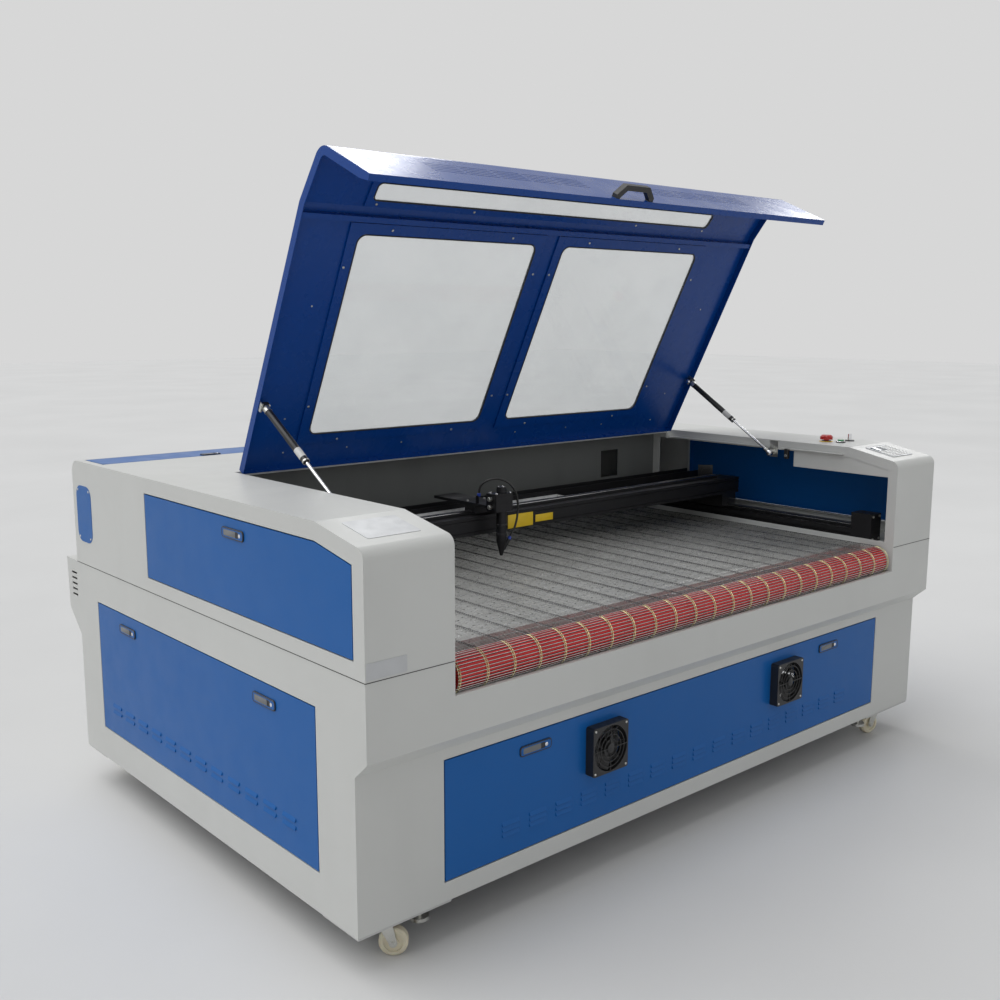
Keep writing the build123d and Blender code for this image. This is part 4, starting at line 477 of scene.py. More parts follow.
@dataclass(frozen=True)
class PowderCoat(Finish):
    """Baked powder paint: a faint orange peel, slow patches of tone and a little handling dirt."""

    gloss: float = 0.2
    dirt: float = 0.05
    mirror: float = 0.25

    def make(self) -> bpy.types.Material:
        """Makes the material's node tree.

        Returns:
            The new material.
        """
        mix = Recipe(self.name)
        patches = mix.spread(mix.noise(2.2, 4.0), 0.0, 1.0)
        base = mix.mix(patches, shade(self.colour, 0.965), shade(self.colour, 1.02))
        smears = mix.spread(mix.noise(9.0, 6.0, (1.0, 1.0, 0.35)), 0.0, self.dirt, 0.52, 0.8)
        base = mix.mix(smears, base, shade(self.colour, 0.55))
        peel = mix.bump(mix.noise(780.0, 1.0), 0.00006, 0.35)
        waves = mix.bump(mix.noise(34.0, 1.0), 0.0002, 0.25, peel)
        rough = mix.spread(mix.noise(14.0, 5.0), self.roughness - 0.05, self.roughness + 0.07)
        return mix.finish(Base_Color=base, Roughness=rough, Normal=waves, Coat_Weight=self.gloss,
                          Coat_Roughness=0.18, Specular_IOR_Level=self.mirror)


@dataclass(frozen=True)
class Metal(Finish):
    """Bare, plated or anodised metal with a grain drawn out along one axis."""

    stretch: Place = (60.0, 60.0, 60.0)
    grain: float = 0.00003
    metallic: float = 1.0
    tone: float = 0.12

    def make(self) -> bpy.types.Material:
        """Makes the material's node tree.

        Returns:
            The new material.
        """
        mix = Recipe(self.name)
        lines = mix.noise(14.0, 3.0, self.stretch)
        clouds = mix.spread(mix.noise(24.0, 4.0), 0.0, 1.0)
        base = mix.mix(clouds, shade(self.colour, 1 - self.tone), shade(self.colour, 1 + self.tone / 2))
        base = mix.mix(mix.spread(lines, 0.0, self.tone), base, shade(self.colour, 0.7))
        rough = mix.spread(lines, self.roughness * 0.8, self.roughness * 1.3)
        return mix.finish(Base_Color=base, Roughness=rough, Metallic=self.metallic,
                          Normal=mix.bump(lines, self.grain, 0.5))


@dataclass(frozen=True)
class Moulded(Finish):
    """Moulded plastic or rubber with a fine even grain."""

    grain: float = 0.00004
    glow: float = 0.0

    def make(self) -> bpy.types.Material:
        """Makes the material's node tree.

        Returns:
            The new material.
        """
        mix = Recipe(self.name)
        clouds = mix.spread(mix.noise(30.0, 4.0), 0.0, 1.0)
        base = mix.mix(clouds, shade(self.colour, 0.86), shade(self.colour, 1.08))
        grain = mix.bump(mix.noise(1500.0, 1.0), self.grain, 0.4)
        rough = mix.spread(mix.noise(60.0, 3.0), self.roughness - 0.06, self.roughness + 0.08)
        return mix.finish(Base_Color=base, Roughness=rough, Normal=grain,
                          Subsurface_Weight=self.glow, Subsurface_Scale=0.004)


@dataclass(frozen=True)
class RibbedRubber(Finish):
    """A red rubber sleeve with grooves along its drum, painted near black as painted wire shadow where a
    sine of the angle is lowest.

    Beyond its ends the drum is bare steel.
    """

    ribs: int
    axis_y: float
    axis_z: float
    end: float
    steel: Colour = (0.45, 0.45, 0.44)

    def make(self) -> bpy.types.Material:
        """Makes the material's node tree.

        Returns:
            The new material.
        """
        mix = Recipe(self.name)
        angle = mix.math("ARCTAN2", mix.math("SUBTRACT", mix.axis(2), self.axis_z),
                         mix.math("SUBTRACT", mix.axis(1), self.axis_y))
        wave = mix.math("SINE", mix.math("MULTIPLY", angle, float(self.ribs)))
        # Painted shadow of the belt's wires, one dark line for each wire round the drum; the same mask also
        # sinks the grooves as relief.
        groove_and_painted_shadow = mix.spread(wave, 0.0, 1.0, -0.75, -0.2)
        clouds = mix.spread(mix.noise(18.0, 5.0), 0.0, 1.0)
        red = mix.mix(clouds, shade(self.colour, 0.88), shade(self.colour, 1.1))
        base = mix.mix(groove_and_painted_shadow, shade(self.colour, 0.06), red)
        bare = mix.math("GREATER_THAN", mix.math("ABSOLUTE", mix.axis(0)), self.end)
        base = mix.mix(bare, base, self.steel)
        rough = mix.spread(mix.noise(70.0, 3.0), self.roughness - 0.08, self.roughness + 0.08)
        relief = mix.bump(groove_and_painted_shadow, 0.0008, 0.6, mix.bump(mix.noise(900.0, 1.0), 0.00005, 0.4))
        return mix.finish(Base_Color=base, Roughness=rough, Normal=relief, Metallic=bare)


@dataclass(frozen=True)
class ClearPane(Finish):
    """A clear sheet with a pale tint, faint dust and soft reflections."""

    cover: float = 0.2
    dust: float = 0.08

    def make(self) -> bpy.types.Material:
        """Makes the material's node tree.

        Returns:
            The new material.
        """
        mix = Recipe(self.name)
        dust = mix.spread(mix.noise(5.0, 6.0), 0.0, self.dust, 0.4, 0.9)
        cover = mix.math("ADD", dust, self.cover)
        base = mix.mix(mix.spread(mix.noise(9.0, 3.0), 0.0, 1.0), self.colour, shade(self.colour, 1.06))
        return mix.finish(Base_Color=base, Roughness=self.roughness, Alpha=cover, IOR=1.5, Coat_Weight=1.0,
                          Coat_Roughness=0.02, Normal=mix.bump(mix.noise(3.0, 1.0), 0.0004, 0.2))


@dataclass(frozen=True)
class PrintedFilm(Finish):
    """A bare printed film with slow patches of tone and a fine grain."""

    def make(self) -> bpy.types.Material:
        """Makes the material's node tree.

        Returns:
            The new material.
        """
        mix = Recipe(self.name)
        clouds = mix.spread(mix.noise(16.0, 3.0), 0.0, 1.0)
        base = mix.mix(clouds, shade(self.colour, 0.94), shade(self.colour, 1.04))
        grain = mix.bump(mix.noise(1200.0, 1.0), 0.00003, 0.3)
        rough = mix.spread(mix.noise(40.0, 2.0), self.roughness - 0.05, self.roughness + 0.05)
        return mix.finish(Base_Color=base, Roughness=rough, Normal=grain)


WHITE = PowderCoat("white_powder_coat", "white_paint", (0.575, 0.58, 0.56), 0.42, 0.08)
FRAME_WHITE = PowderCoat("frame_powder_coat", "frame_paint", (0.5, 0.5, 0.49), 0.5, 0.1, 0.2)
BLUE = PowderCoat("blue_powder_coat", "blue_paint", (0.006, 0.105, 0.36), 0.34, 0.06, 0.05, 0.2)
# The lid's paint is the doors' blue made darker: painted shade on the open lid's inside.
SHADED_LID_BLUE = PowderCoat("lid_powder_coat_painted_shade", "lid_paint", (0.002, 0.05, 0.26), 0.26, 0.12, 0.05, 0.2)
DARK = PowderCoat("dark_grey_paint", "dark_paint", (0.15, 0.156, 0.15), 0.55, 0.0, 0.3)
BLACK_PAINT = PowderCoat("black_enamel", "black_metal", (0.012, 0.012, 0.013), 0.34, 0.3)
BLACK_ANODISED = Metal("black_anodised", "black_aluminium", (0.022, 0.022, 0.024), 0.42,
                       (0.5, 30.0, 30.0), 0.00002, 0.7)
ZINC = Metal("zinc_plate", "zinc", (0.58, 0.58, 0.55), 0.32)
CHROME = Metal("bright_chrome", "chrome", (0.8, 0.8, 0.82), 0.12, (20.0, 20.0, 20.0), 0.000005, 1.0, 0.04)
CAST = Metal("cast_iron_skin", "cast_iron", (0.1, 0.1, 0.1), 0.65, (20.0, 20.0, 20.0), 0.0003, 0.6)
BRASS = Metal("turned_brass", "zinc", (0.72, 0.5, 0.2), 0.25)
BED_STEEL = Metal("bed_sheet_steel", "bed_steel", (0.42, 0.42, 0.41), 0.42, (0.4, 6.0, 6.0), 0.00006, 0.55)
WIRE = Metal("belt_wire", "belt_mesh", (0.66, 0.66, 0.64), 0.28, (4.0, 4.0, 4.0), 0.00001, 0.85)
LINK = Metal("belt_link_brass", "belt_mesh", (0.62, 0.56, 0.3), 0.3, (4.0, 4.0, 4.0), 0.00001, 0.85)
# The same belt hooks made near black where they lie on the bed: painted shade.
SHADED_LINK = Metal("belt_link_painted_shade", "belt_mesh", (0.12, 0.12, 0.12), 0.3, (4.0, 4.0, 4.0), 0.00001, 0.85)
BARE_SHEET = Metal("bare_bright_sheet", "bed_steel", (0.82, 0.82, 0.81), 0.35,
                   (2.0, 30.0, 30.0), 0.00008, 0.25, 0.3)
BLACK_PLASTIC = Moulded("black_moulding", "black_plastic", (0.014, 0.014, 0.015), 0.42)
GREY_PLASTIC = Moulded("grey_moulding", "black_plastic", (0.16, 0.165, 0.17), 0.4)
BLUE_PLASTIC = Moulded("blue_fitting", "black_plastic", (0.02, 0.06, 0.4), 0.35)
WHITE_PLASTIC = Moulded("white_moulding", "plate_film", (0.62, 0.62, 0.6), 0.4)
RED_PLASTIC = Moulded("red_moulding", "red_plastic", (0.5, 0.012, 0.01), 0.28)
GREEN_PLASTIC = Moulded("green_lens", "plate_film", (0.05, 0.3, 0.12), 0.2)
NYLON = Moulded("cream_nylon_tread", "cream_nylon", (0.72, 0.66, 0.5), 0.38, 0.00005, 0.1)
HOSE = Moulded("hose_rubber", "black_hose", (0.012, 0.012, 0.012), 0.45)
TIMING = Moulded("timing_belt_rubber", "black_hose", (0.05, 0.05, 0.052), 0.55)
PANE = ClearPane("lid_pane", "clear_glass", (0.7, 0.78, 0.8), 0.03)
TUBE_GLASS = ClearPane("tube_glass_wall", "tube_glass", (0.75, 0.82, 0.82), 0.02, 0.3, 0.02)
SILVER_FILM = PrintedFilm("silver_film", "plate_film", (0.5, 0.51, 0.52), 0.35)
YELLOW_FILM = PrintedFilm("yellow_film", "plate_film", (0.86, 0.58, 0.015), 0.4)
SCREEN = PrintedFilm("display_window", "plate_film", (0.03, 0.06, 0.09), 0.12)


# Layout and pieces


class Layout:
    """The way from the drawing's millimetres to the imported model's metres."""

    origin_y: float = 0.0

    @classmethod
    def settle(cls) -> None:
        """Reads from the frame how far the drawing's front face lies before the model's origin."""
        cls.origin_y = -PER_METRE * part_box("left_console")[0].y

    @classmethod
    def metres(cls, points: np.ndarray) -> np.ndarray:
        """Millimetres of the drawing as metres of the model."""
        return (np.asarray(points, float) - (0.0, cls.origin_y, 0.0)) / PER_METRE

    @classmethod
    def span(cls, node: str) -> tuple[np.ndarray, np.ndarray]:
        """Where a CAD node lies.

        Args:
            node: the node's name.

        Returns:
            Its lowest and its highest corner, in millimetres of the drawing.
        """
        low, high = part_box(node)
        shift = np.array([0.0, cls.origin_y, 0.0])
        return np.array(low) * PER_METRE + shift, np.array(high) * PER_METRE + shift


def piece(name: str, shape: Shape, finish: Finish, body: str, smooth: float = 35.0) -> bpy.types.Object:
    """Puts a surface into the scene as one piece of the object.

    Args:
        name: the piece's name.
        shape: its surface, in millimetres of the drawing.
        finish: its finish, whose material it takes.
        body: the body that it moves with.
        smooth: faces that meet at less than this many degrees are shaded as one.

    Returns:
        The new object, at the origin, with its place in its mesh.
    """
    mesh = bpy.data.meshes.new(name)
    mesh.vertices.add(len(shape.points))
    mesh.vertices.foreach_set("co", Layout.metres(shape.points).astype(np.float32).ravel())
    mesh.loops.add(len(shape.corners))
    mesh.loops.foreach_set("vertex_index", shape.corners.astype(np.int32))
    mesh.polygons.add(len(shape.sizes))
    starts = np.concatenate([[0], np.cumsum(shape.sizes)[:-1]])
    mesh.polygons.foreach_set("loop_start", starts.astype(np.int32))
    mesh.polygons.foreach_set("use_smooth", np.ones(len(shape.sizes), bool))
    mesh.update(calc_edges=True)
    mesh.set_sharp_from_angle(angle=math.radians(smooth))
    mesh.materials.append(finish.material)
    made = bpy.data.objects.new(name, mesh)
    bpy.context.scene.collection.objects.link(made)
    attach(made, body)
    LOG.info("%s: %d faces on %s", name, len(shape.sizes), body)
    return made


class SubAssembly:
    """What every sub-assembly has: pieces of its own, and the finishes of its CAD nodes."""

    def build(self) -> None:
        """Makes its pieces."""
        raise NotImplementedError

    def coats(self) -> dict[Finish, list[str]]:
        """The names of its CAD nodes, by their finish."""
        return {}

    def dress(self, nodes: dict[str, bpy.types.Object]) -> None:
        """Gives its CAD nodes their finishes.

        Args:
            nodes: the frame's nodes, by name.
        """
        for finish, names in self.coats().items():
            for name in names:
                nodes[name].data.materials.clear()
                nodes[name].data.materials.append(finish.material)


def pan_head(radius: float = 3.4, height: float = 2.0) -> Shape:
    """A domed screw head, standing on Z = 0."""
    return lathe([radius, radius * 0.97, radius * 0.78, radius * 0.45],
                 [0, height * 0.45, height * 0.85, height], 10)


def cap_screw(radius: float = 3.5, height: float = 3.5) -> Shape:
    """A socket cap screw's head: a drum with a broken edge and a socket sunk in its top."""
    return lathe([radius, radius, radius * 0.88, radius * 0.55, radius * 0.5],
                 [0, height * 0.85, height, height, height * 0.35], 12)


def hex_head(radius: float = 6.0, height: float = 4.0) -> Shape:
    """A hexagon bolt head with a chamfered top."""
    return lathe([radius, radius, radius * 0.88], [0, height * 0.8, height], 6)


# Studio


@dataclass
class Studio:
    """The camera, the floor and the lights.

    A lamp is its direction from the machine, its strength and how many degrees wide it is. A gleam is
    its direction from the lid's flap and its watts for each square metre.
    """

    camera_place: Place = (-2.2245, -2.4392, 1.3297)
    camera_turn: Place = (80.6304, -0.1073, -41.4575)
    focal_pixels: float = 1112.75
    frame_pixels: float = 1000.0
    sensor: float = 36.0
    sight: float = 200.0
    floor_size: float = 60.0
    floor_tones: tuple[Colour, Colour] = ((0.6, 0.6, 0.595), (0.64, 0.64, 0.635))
    backdrop: float = 0.68
    daylight: float = 0.36
    daylight_tint: Colour = (0.95, 0.97, 1.0)
    window_light: tuple[Place, float, float] = ((-0.38, 0.34, 0.86), 2.1, 70.0)
    room_light: tuple[Place, float, float] = ((-0.25, -0.75, 0.60), 0.45, 120.0)
    left_gleam: tuple[Place, float] = ((0.47, 0.73, 0.50), 20.0)
    right_gleam: tuple[Place, float] = ((0.90, 0.33, 0.30), 14.0)
    gleam_size: tuple[float, float] = (1.8, 2.4)
    gleam_distance: float = 9.0
    flap_place: Place = (0.0, -0.45, 1.65)

    def build(self) -> None:
        """Sets the camera, the world, the floor and the lamps."""
        self.camera()
        self.world()
        self.floor()
        self.lamp("window_light", *self.window_light)
        self.lamp("room_light", *self.room_light)
        self.strip_light("left_gleam", *self.left_gleam)
        self.strip_light("right_gleam", *self.right_gleam)
        bpy.context.scene.view_settings.view_transform = "Standard"

    def camera(self) -> None:
        """The camera at the photograph's place and angle."""
        data = bpy.data.cameras.new("camera")
        data.sensor_width = self.sensor
        data.lens = self.sensor * self.focal_pixels / self.frame_pixels
        data.clip_end = self.sight
        made = bpy.data.objects.new("camera", data)
        made.location = self.camera_place
        made.rotation_euler = [math.radians(angle) for angle in self.camera_turn]
        bpy.context.scene.collection.objects.link(made)
        bpy.context.scene.camera = made

    def world(self) -> None:
        """Soft even daylight, which camera, mirror and glass rays see as a pale backdrop."""
        world = bpy.data.worlds.new("studio")
        world.use_nodes = True
        bpy.context.scene.world = world
        tree = world.node_tree
        lit = tree.nodes["Background"]
        lit.inputs["Color"].default_value = (*self.daylight_tint, 1.0)
        lit.inputs["Strength"].default_value = self.daylight
        seen = tree.nodes.new("ShaderNodeBackground")
        seen.inputs["Color"].default_value = (self.backdrop, self.backdrop, self.backdrop, 1.0)
        path = tree.nodes.new("ShaderNodeLightPath")
        rays = path.outputs["Is Camera Ray"]
        for kind in ("Is Transmission Ray", "Is Glossy Ray"):
            either = tree.nodes.new("ShaderNodeMath")
            either.operation = "MAXIMUM"
            tree.links.new(rays, either.inputs[0])
            tree.links.new(path.outputs[kind], either.inputs[1])
            rays = either.outputs[0]
        mix = tree.nodes.new("ShaderNodeMixShader")
        tree.links.new(rays, mix.inputs[0])
        tree.links.new(lit.outputs[0], mix.inputs[1])
        tree.links.new(seen.outputs[0], mix.inputs[2])
        tree.links.new(mix.outputs[0], tree.nodes["World Output"].inputs["Surface"])

    def floor(self) -> None:
        """A plain pale floor."""
        half = self.floor_size / 2
        mesh = bpy.data.meshes.new("studio_floor")
        mesh.from_pydata([(-half, -half, 0), (half, -half, 0), (half, half, 0), (-half, half, 0)], [],
                         [(0, 1, 2, 3)])
        made = bpy.data.objects.new("studio_floor", mesh)
        bpy.context.scene.collection.objects.link(made)
        mix = Recipe("pale_floor")
        tone = mix.mix(mix.spread(mix.noise(0.8, 5.0), 0.0, 1.0), *self.floor_tones)
        mesh.materials.append(mix.finish(Base_Color=tone, Roughness=0.7))

    def lamp(self, name: str, towards: Place, strength: float, spread: float) -> None:
        """A distant soft light, which lights the whole floor evenly.

        Args:
            name: the light's name.
            towards: the direction from the machine to the light.
            strength: its strength.
            spread: how wide the light is, in degrees.
        """
        data = bpy.data.lights.new(name, "SUN")
        data.energy = strength
        data.angle = math.radians(spread)
        made = bpy.data.objects.new(name, data)
        made.rotation_euler = Vector(towards).to_track_quat("Z", "Y").to_euler()
        bpy.context.scene.collection.objects.link(made)

    def strip_light(self, name: str, towards: Place, strength: float) -> None:
        """A soft box that only glossy surfaces see, as a bright window far behind the machine.

        Args:
            name: the light's name.
            towards: the direction from the lid's flap to the light.
            strength: its power in watts for each square metre.
        """
        data = bpy.data.lights.new(name, "AREA")
        data.shape = "RECTANGLE"
        data.size, data.size_y = self.gleam_size
        data.energy = strength * data.size * data.size_y
        made = bpy.data.objects.new(name, data)
        place = Vector(towards).normalized() * self.gleam_distance
        made.location = place + Vector(self.flap_place)
        made.rotation_euler = Vector(towards).to_track_quat("Z", "Y").to_euler()
        made.visible_diffuse = False
        made.visible_camera = False
        made.visible_transmission = False
        bpy.context.scene.collection.objects.link(made)


# Sub-assemblies


@dataclass
class AirHose(SubAssembly):
    """The thin free hose that loops over the laser head down to its nozzle."""


    head_x: float = -224.0
    tube_y: float = 572.0
    radius: float = 3.0
    length: float = 0.286
    route: tuple[Place, ...] = (
        (-30, 60, 840), (-30, 60, 857), (-26, 53, 873), (-16, 40, 884), (2, 26, 889), (22, 13, 884),
        (42, 5, 869), (55, 1, 848), (61, 0, 823), (62, 0, 796), (56, 0, 764), (44, 0, 740), (30, 0, 722))
    facets: int = 3
    steps: int = 10

    def build(self) -> None:
        points = Layout.metres(np.array(self.route) + (self.head_x, self.tube_y, 0.0))
        curve = bpy.data.curves.new("air_hose_line", "CURVE")
        curve.dimensions = "3D"
        curve.bevel_depth = self.radius / PER_METRE
        curve.bevel_resolution = self.facets
        curve.resolution_u = self.steps
        curve.use_fill_caps = True
        spline = curve.splines.new("NURBS")
        spline.points.add(len(points) - 1)
        spline.points.foreach_set("co", np.column_stack([points, np.ones(len(points))]).ravel())
        spline.order_u = 3
        spline.use_endpoint_u = True
        curve.materials.append(HOSE.material)
        made = bpy.data.objects.new("air_hose_line", curve)
        bpy.context.scene.collection.objects.link(made)
        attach(made, "lens_tube")
        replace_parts(made, "air_hose")
        LOG.info("air_hose_line: %d control points", len(points))


@dataclass
class Housing(SubAssembly):
    """The painted shells, with the dark joint between them and the screws that hold them."""

    half_width: float = 1075.0
    inner_x: float = 857.0
    depth: float = 1430.0
    seam_z: float = 641.0
    seam_radius: float = 0.9
    cover_screw_inset: float = 13.0
    cover_screw_sink: float = 0.2
    flange_screws: int = 6
    flange_margin: float = 9.0
    flange_sheet: float = 2.0

    def build(self) -> None:
        """Makes the seams and the small fasteners of the housing."""
        self.seams()
        self.cover_screws()
        self.spigot_screws()

    def seams(self) -> None:
        """The dark joint between the upper shells and the lower skins, as thin half-sunk lines."""
        half, inner, z = self.half_width, self.inner_x, self.seam_z
        right = rods([(half, 0.0, z), (inner, 0.0, z)], [(half, self.depth, z), (half, 0.0, z)],
                     self.seam_radius)
        piece("shell_seams", right + right.mirrored(), HOSE, "cabinet")

    def cover_screws(self) -> None:
        """Four pan heads on each side cover."""
        low, high = Layout.span("side_covers")
        inset = self.cover_screw_inset
        face = high[0] - self.cover_screw_sink
        spots = np.array([(face, y, z) for y in (low[1] + inset, high[1] - inset)
                          for z in (low[2] + inset, high[2] - inset)])
        screws = pan_head(3.0, 1.6).turned(Wall.RIGHT.axes).repeated(spots)
        piece("side_cover_screws", screws + screws.mirrored(), ZINC, "cabinet")

    def spigot_screws(self) -> None:
        """Pan heads round each duct flange, on a circle a margin inside its edge."""
        low, high = Layout.span("exhaust_spigots")
        radius = (high[2] - low[2]) / 2
        count = self.flange_screws
        angles = np.radians((np.arange(count) + 0.5) * 360 / count)
        reach = radius - self.flange_margin
        around = np.column_stack([reach * np.cos(angles), np.full(count, low[1] + self.flange_sheet),
                                  (high[2] + low[2]) / 2 + reach * np.sin(angles)])
        centres = np.array([(x, 0.0, 0.0) for x in (low[0] + radius, high[0] - radius)])
        spots = (centres[:, None] + around).reshape(-1, 3)
        piece("duct_flange_screws", pan_head().turned(along((0, 1, 0))).repeated(spots), ZINC, "cabinet")

    def coats(self) -> dict[Finish, list[str]]:
        """White shells, blue doors and covers, and a dark wall behind the bed."""
        return {
            WHITE: ["lower_front_skin", "lower_left_skin", "lower_right_skin", "lower_rear_skin",
                    "rear_box", "rear_box_ends", "left_console", "right_console", "rear_housing",
                    "control_tray"],
            BLUE: ["side_covers", "tube_cover", "front_door", "left_lower_door", "right_lower_door",
                   "left_upper_door", "right_upper_door"],
            FRAME_WHITE: ["base_frame"],
            DARK: ["chamber_rear_wall"],
            ZINC: ["exhaust_spigots", "levelling_feet"],
        }


@dataclass
class Latches(SubAssembly):
    """The paddle latches that cover the plain ones: a housing with a pocket, a flap and a key barrel."""

    length: float = 96.6
    height: float = 24.6
    proud: float = 3.4
    paddle_share: float = 0.56
    paddle_margin: float = 10.5
    front: tuple[Place, ...] = ((-590.0, 42.0, 375.0), (590.0, 42.0, 375.0))
    lower: tuple[tuple[float, float], ...] = ((386.5, 505.0), (1100.5, 505.0))
    upper: tuple[float, float] = (500.0, 857.0)
    cover: Place = (-727.0, 1281.0, 932.0)
    cover_length: float = 58.6
    half_width: float = 1075.0

    def housing(self, length: float) -> Shape:
        """The black body: a rounded plate whose rim rises round a sunk pocket."""
        return pad(length, self.height, 7.5, [
            (0.0, -0.4), (0.0, self.proud - 0.9), (0.9, self.proud), (2.4, self.proud),
            (3.2, self.proud - 0.7), (3.4, self.proud - 1.1)], 5)

    def paddle(self, length: float) -> Shape:
        """The flap in the pocket, which leaves room for the lock barrel."""
        flap = pad(length * self.paddle_share, self.height - self.paddle_margin, 2.5, [
            (0.0, self.proud - 1.3), (0.0, self.proud - 0.5), (0.5, self.proud - 0.15)], 3)
        return flap.moved(x=-length / 8)

    def barrel(self, length: float) -> Shape:
        """The round key barrel beside the flap."""
        drum = lathe([4.6, 4.6, 4.0, 1.2], [self.proud - 1.3, self.proud - 0.3, self.proud, self.proud], 16)
        return drum.moved(x=length / 3)

    def build(self) -> None:
        """Sets a latch on each place."""
        doors = {
            "front_door": [(Wall.FRONT, place) for place in self.front],
            "left_lower_door": [(Wall.LEFT, (-self.half_width, *spot)) for spot in self.lower],
            "right_lower_door": [(Wall.RIGHT, (self.half_width, *spot)) for spot in self.lower],
            "left_upper_door": [(Wall.LEFT, (-self.half_width, *self.upper))],
            "right_upper_door": [(Wall.RIGHT, (self.half_width, *self.upper))],
            "tube_cover": [(Wall.TOP, self.cover)],
        }
        for body, places in doors.items():
            length = self.cover_length if body == "tube_cover" else self.length
            for part, make, finish in (("housings", self.housing, BLACK_PLASTIC),
                                       ("paddles", self.paddle, GREY_PLASTIC),
                                       ("barrels", self.barrel, CHROME)):
                copies = joined(make(length).turned(wall.axes).moved(*place) for wall, place in places)
                piece(f"{body}_latch_{part}", copies, finish, body)


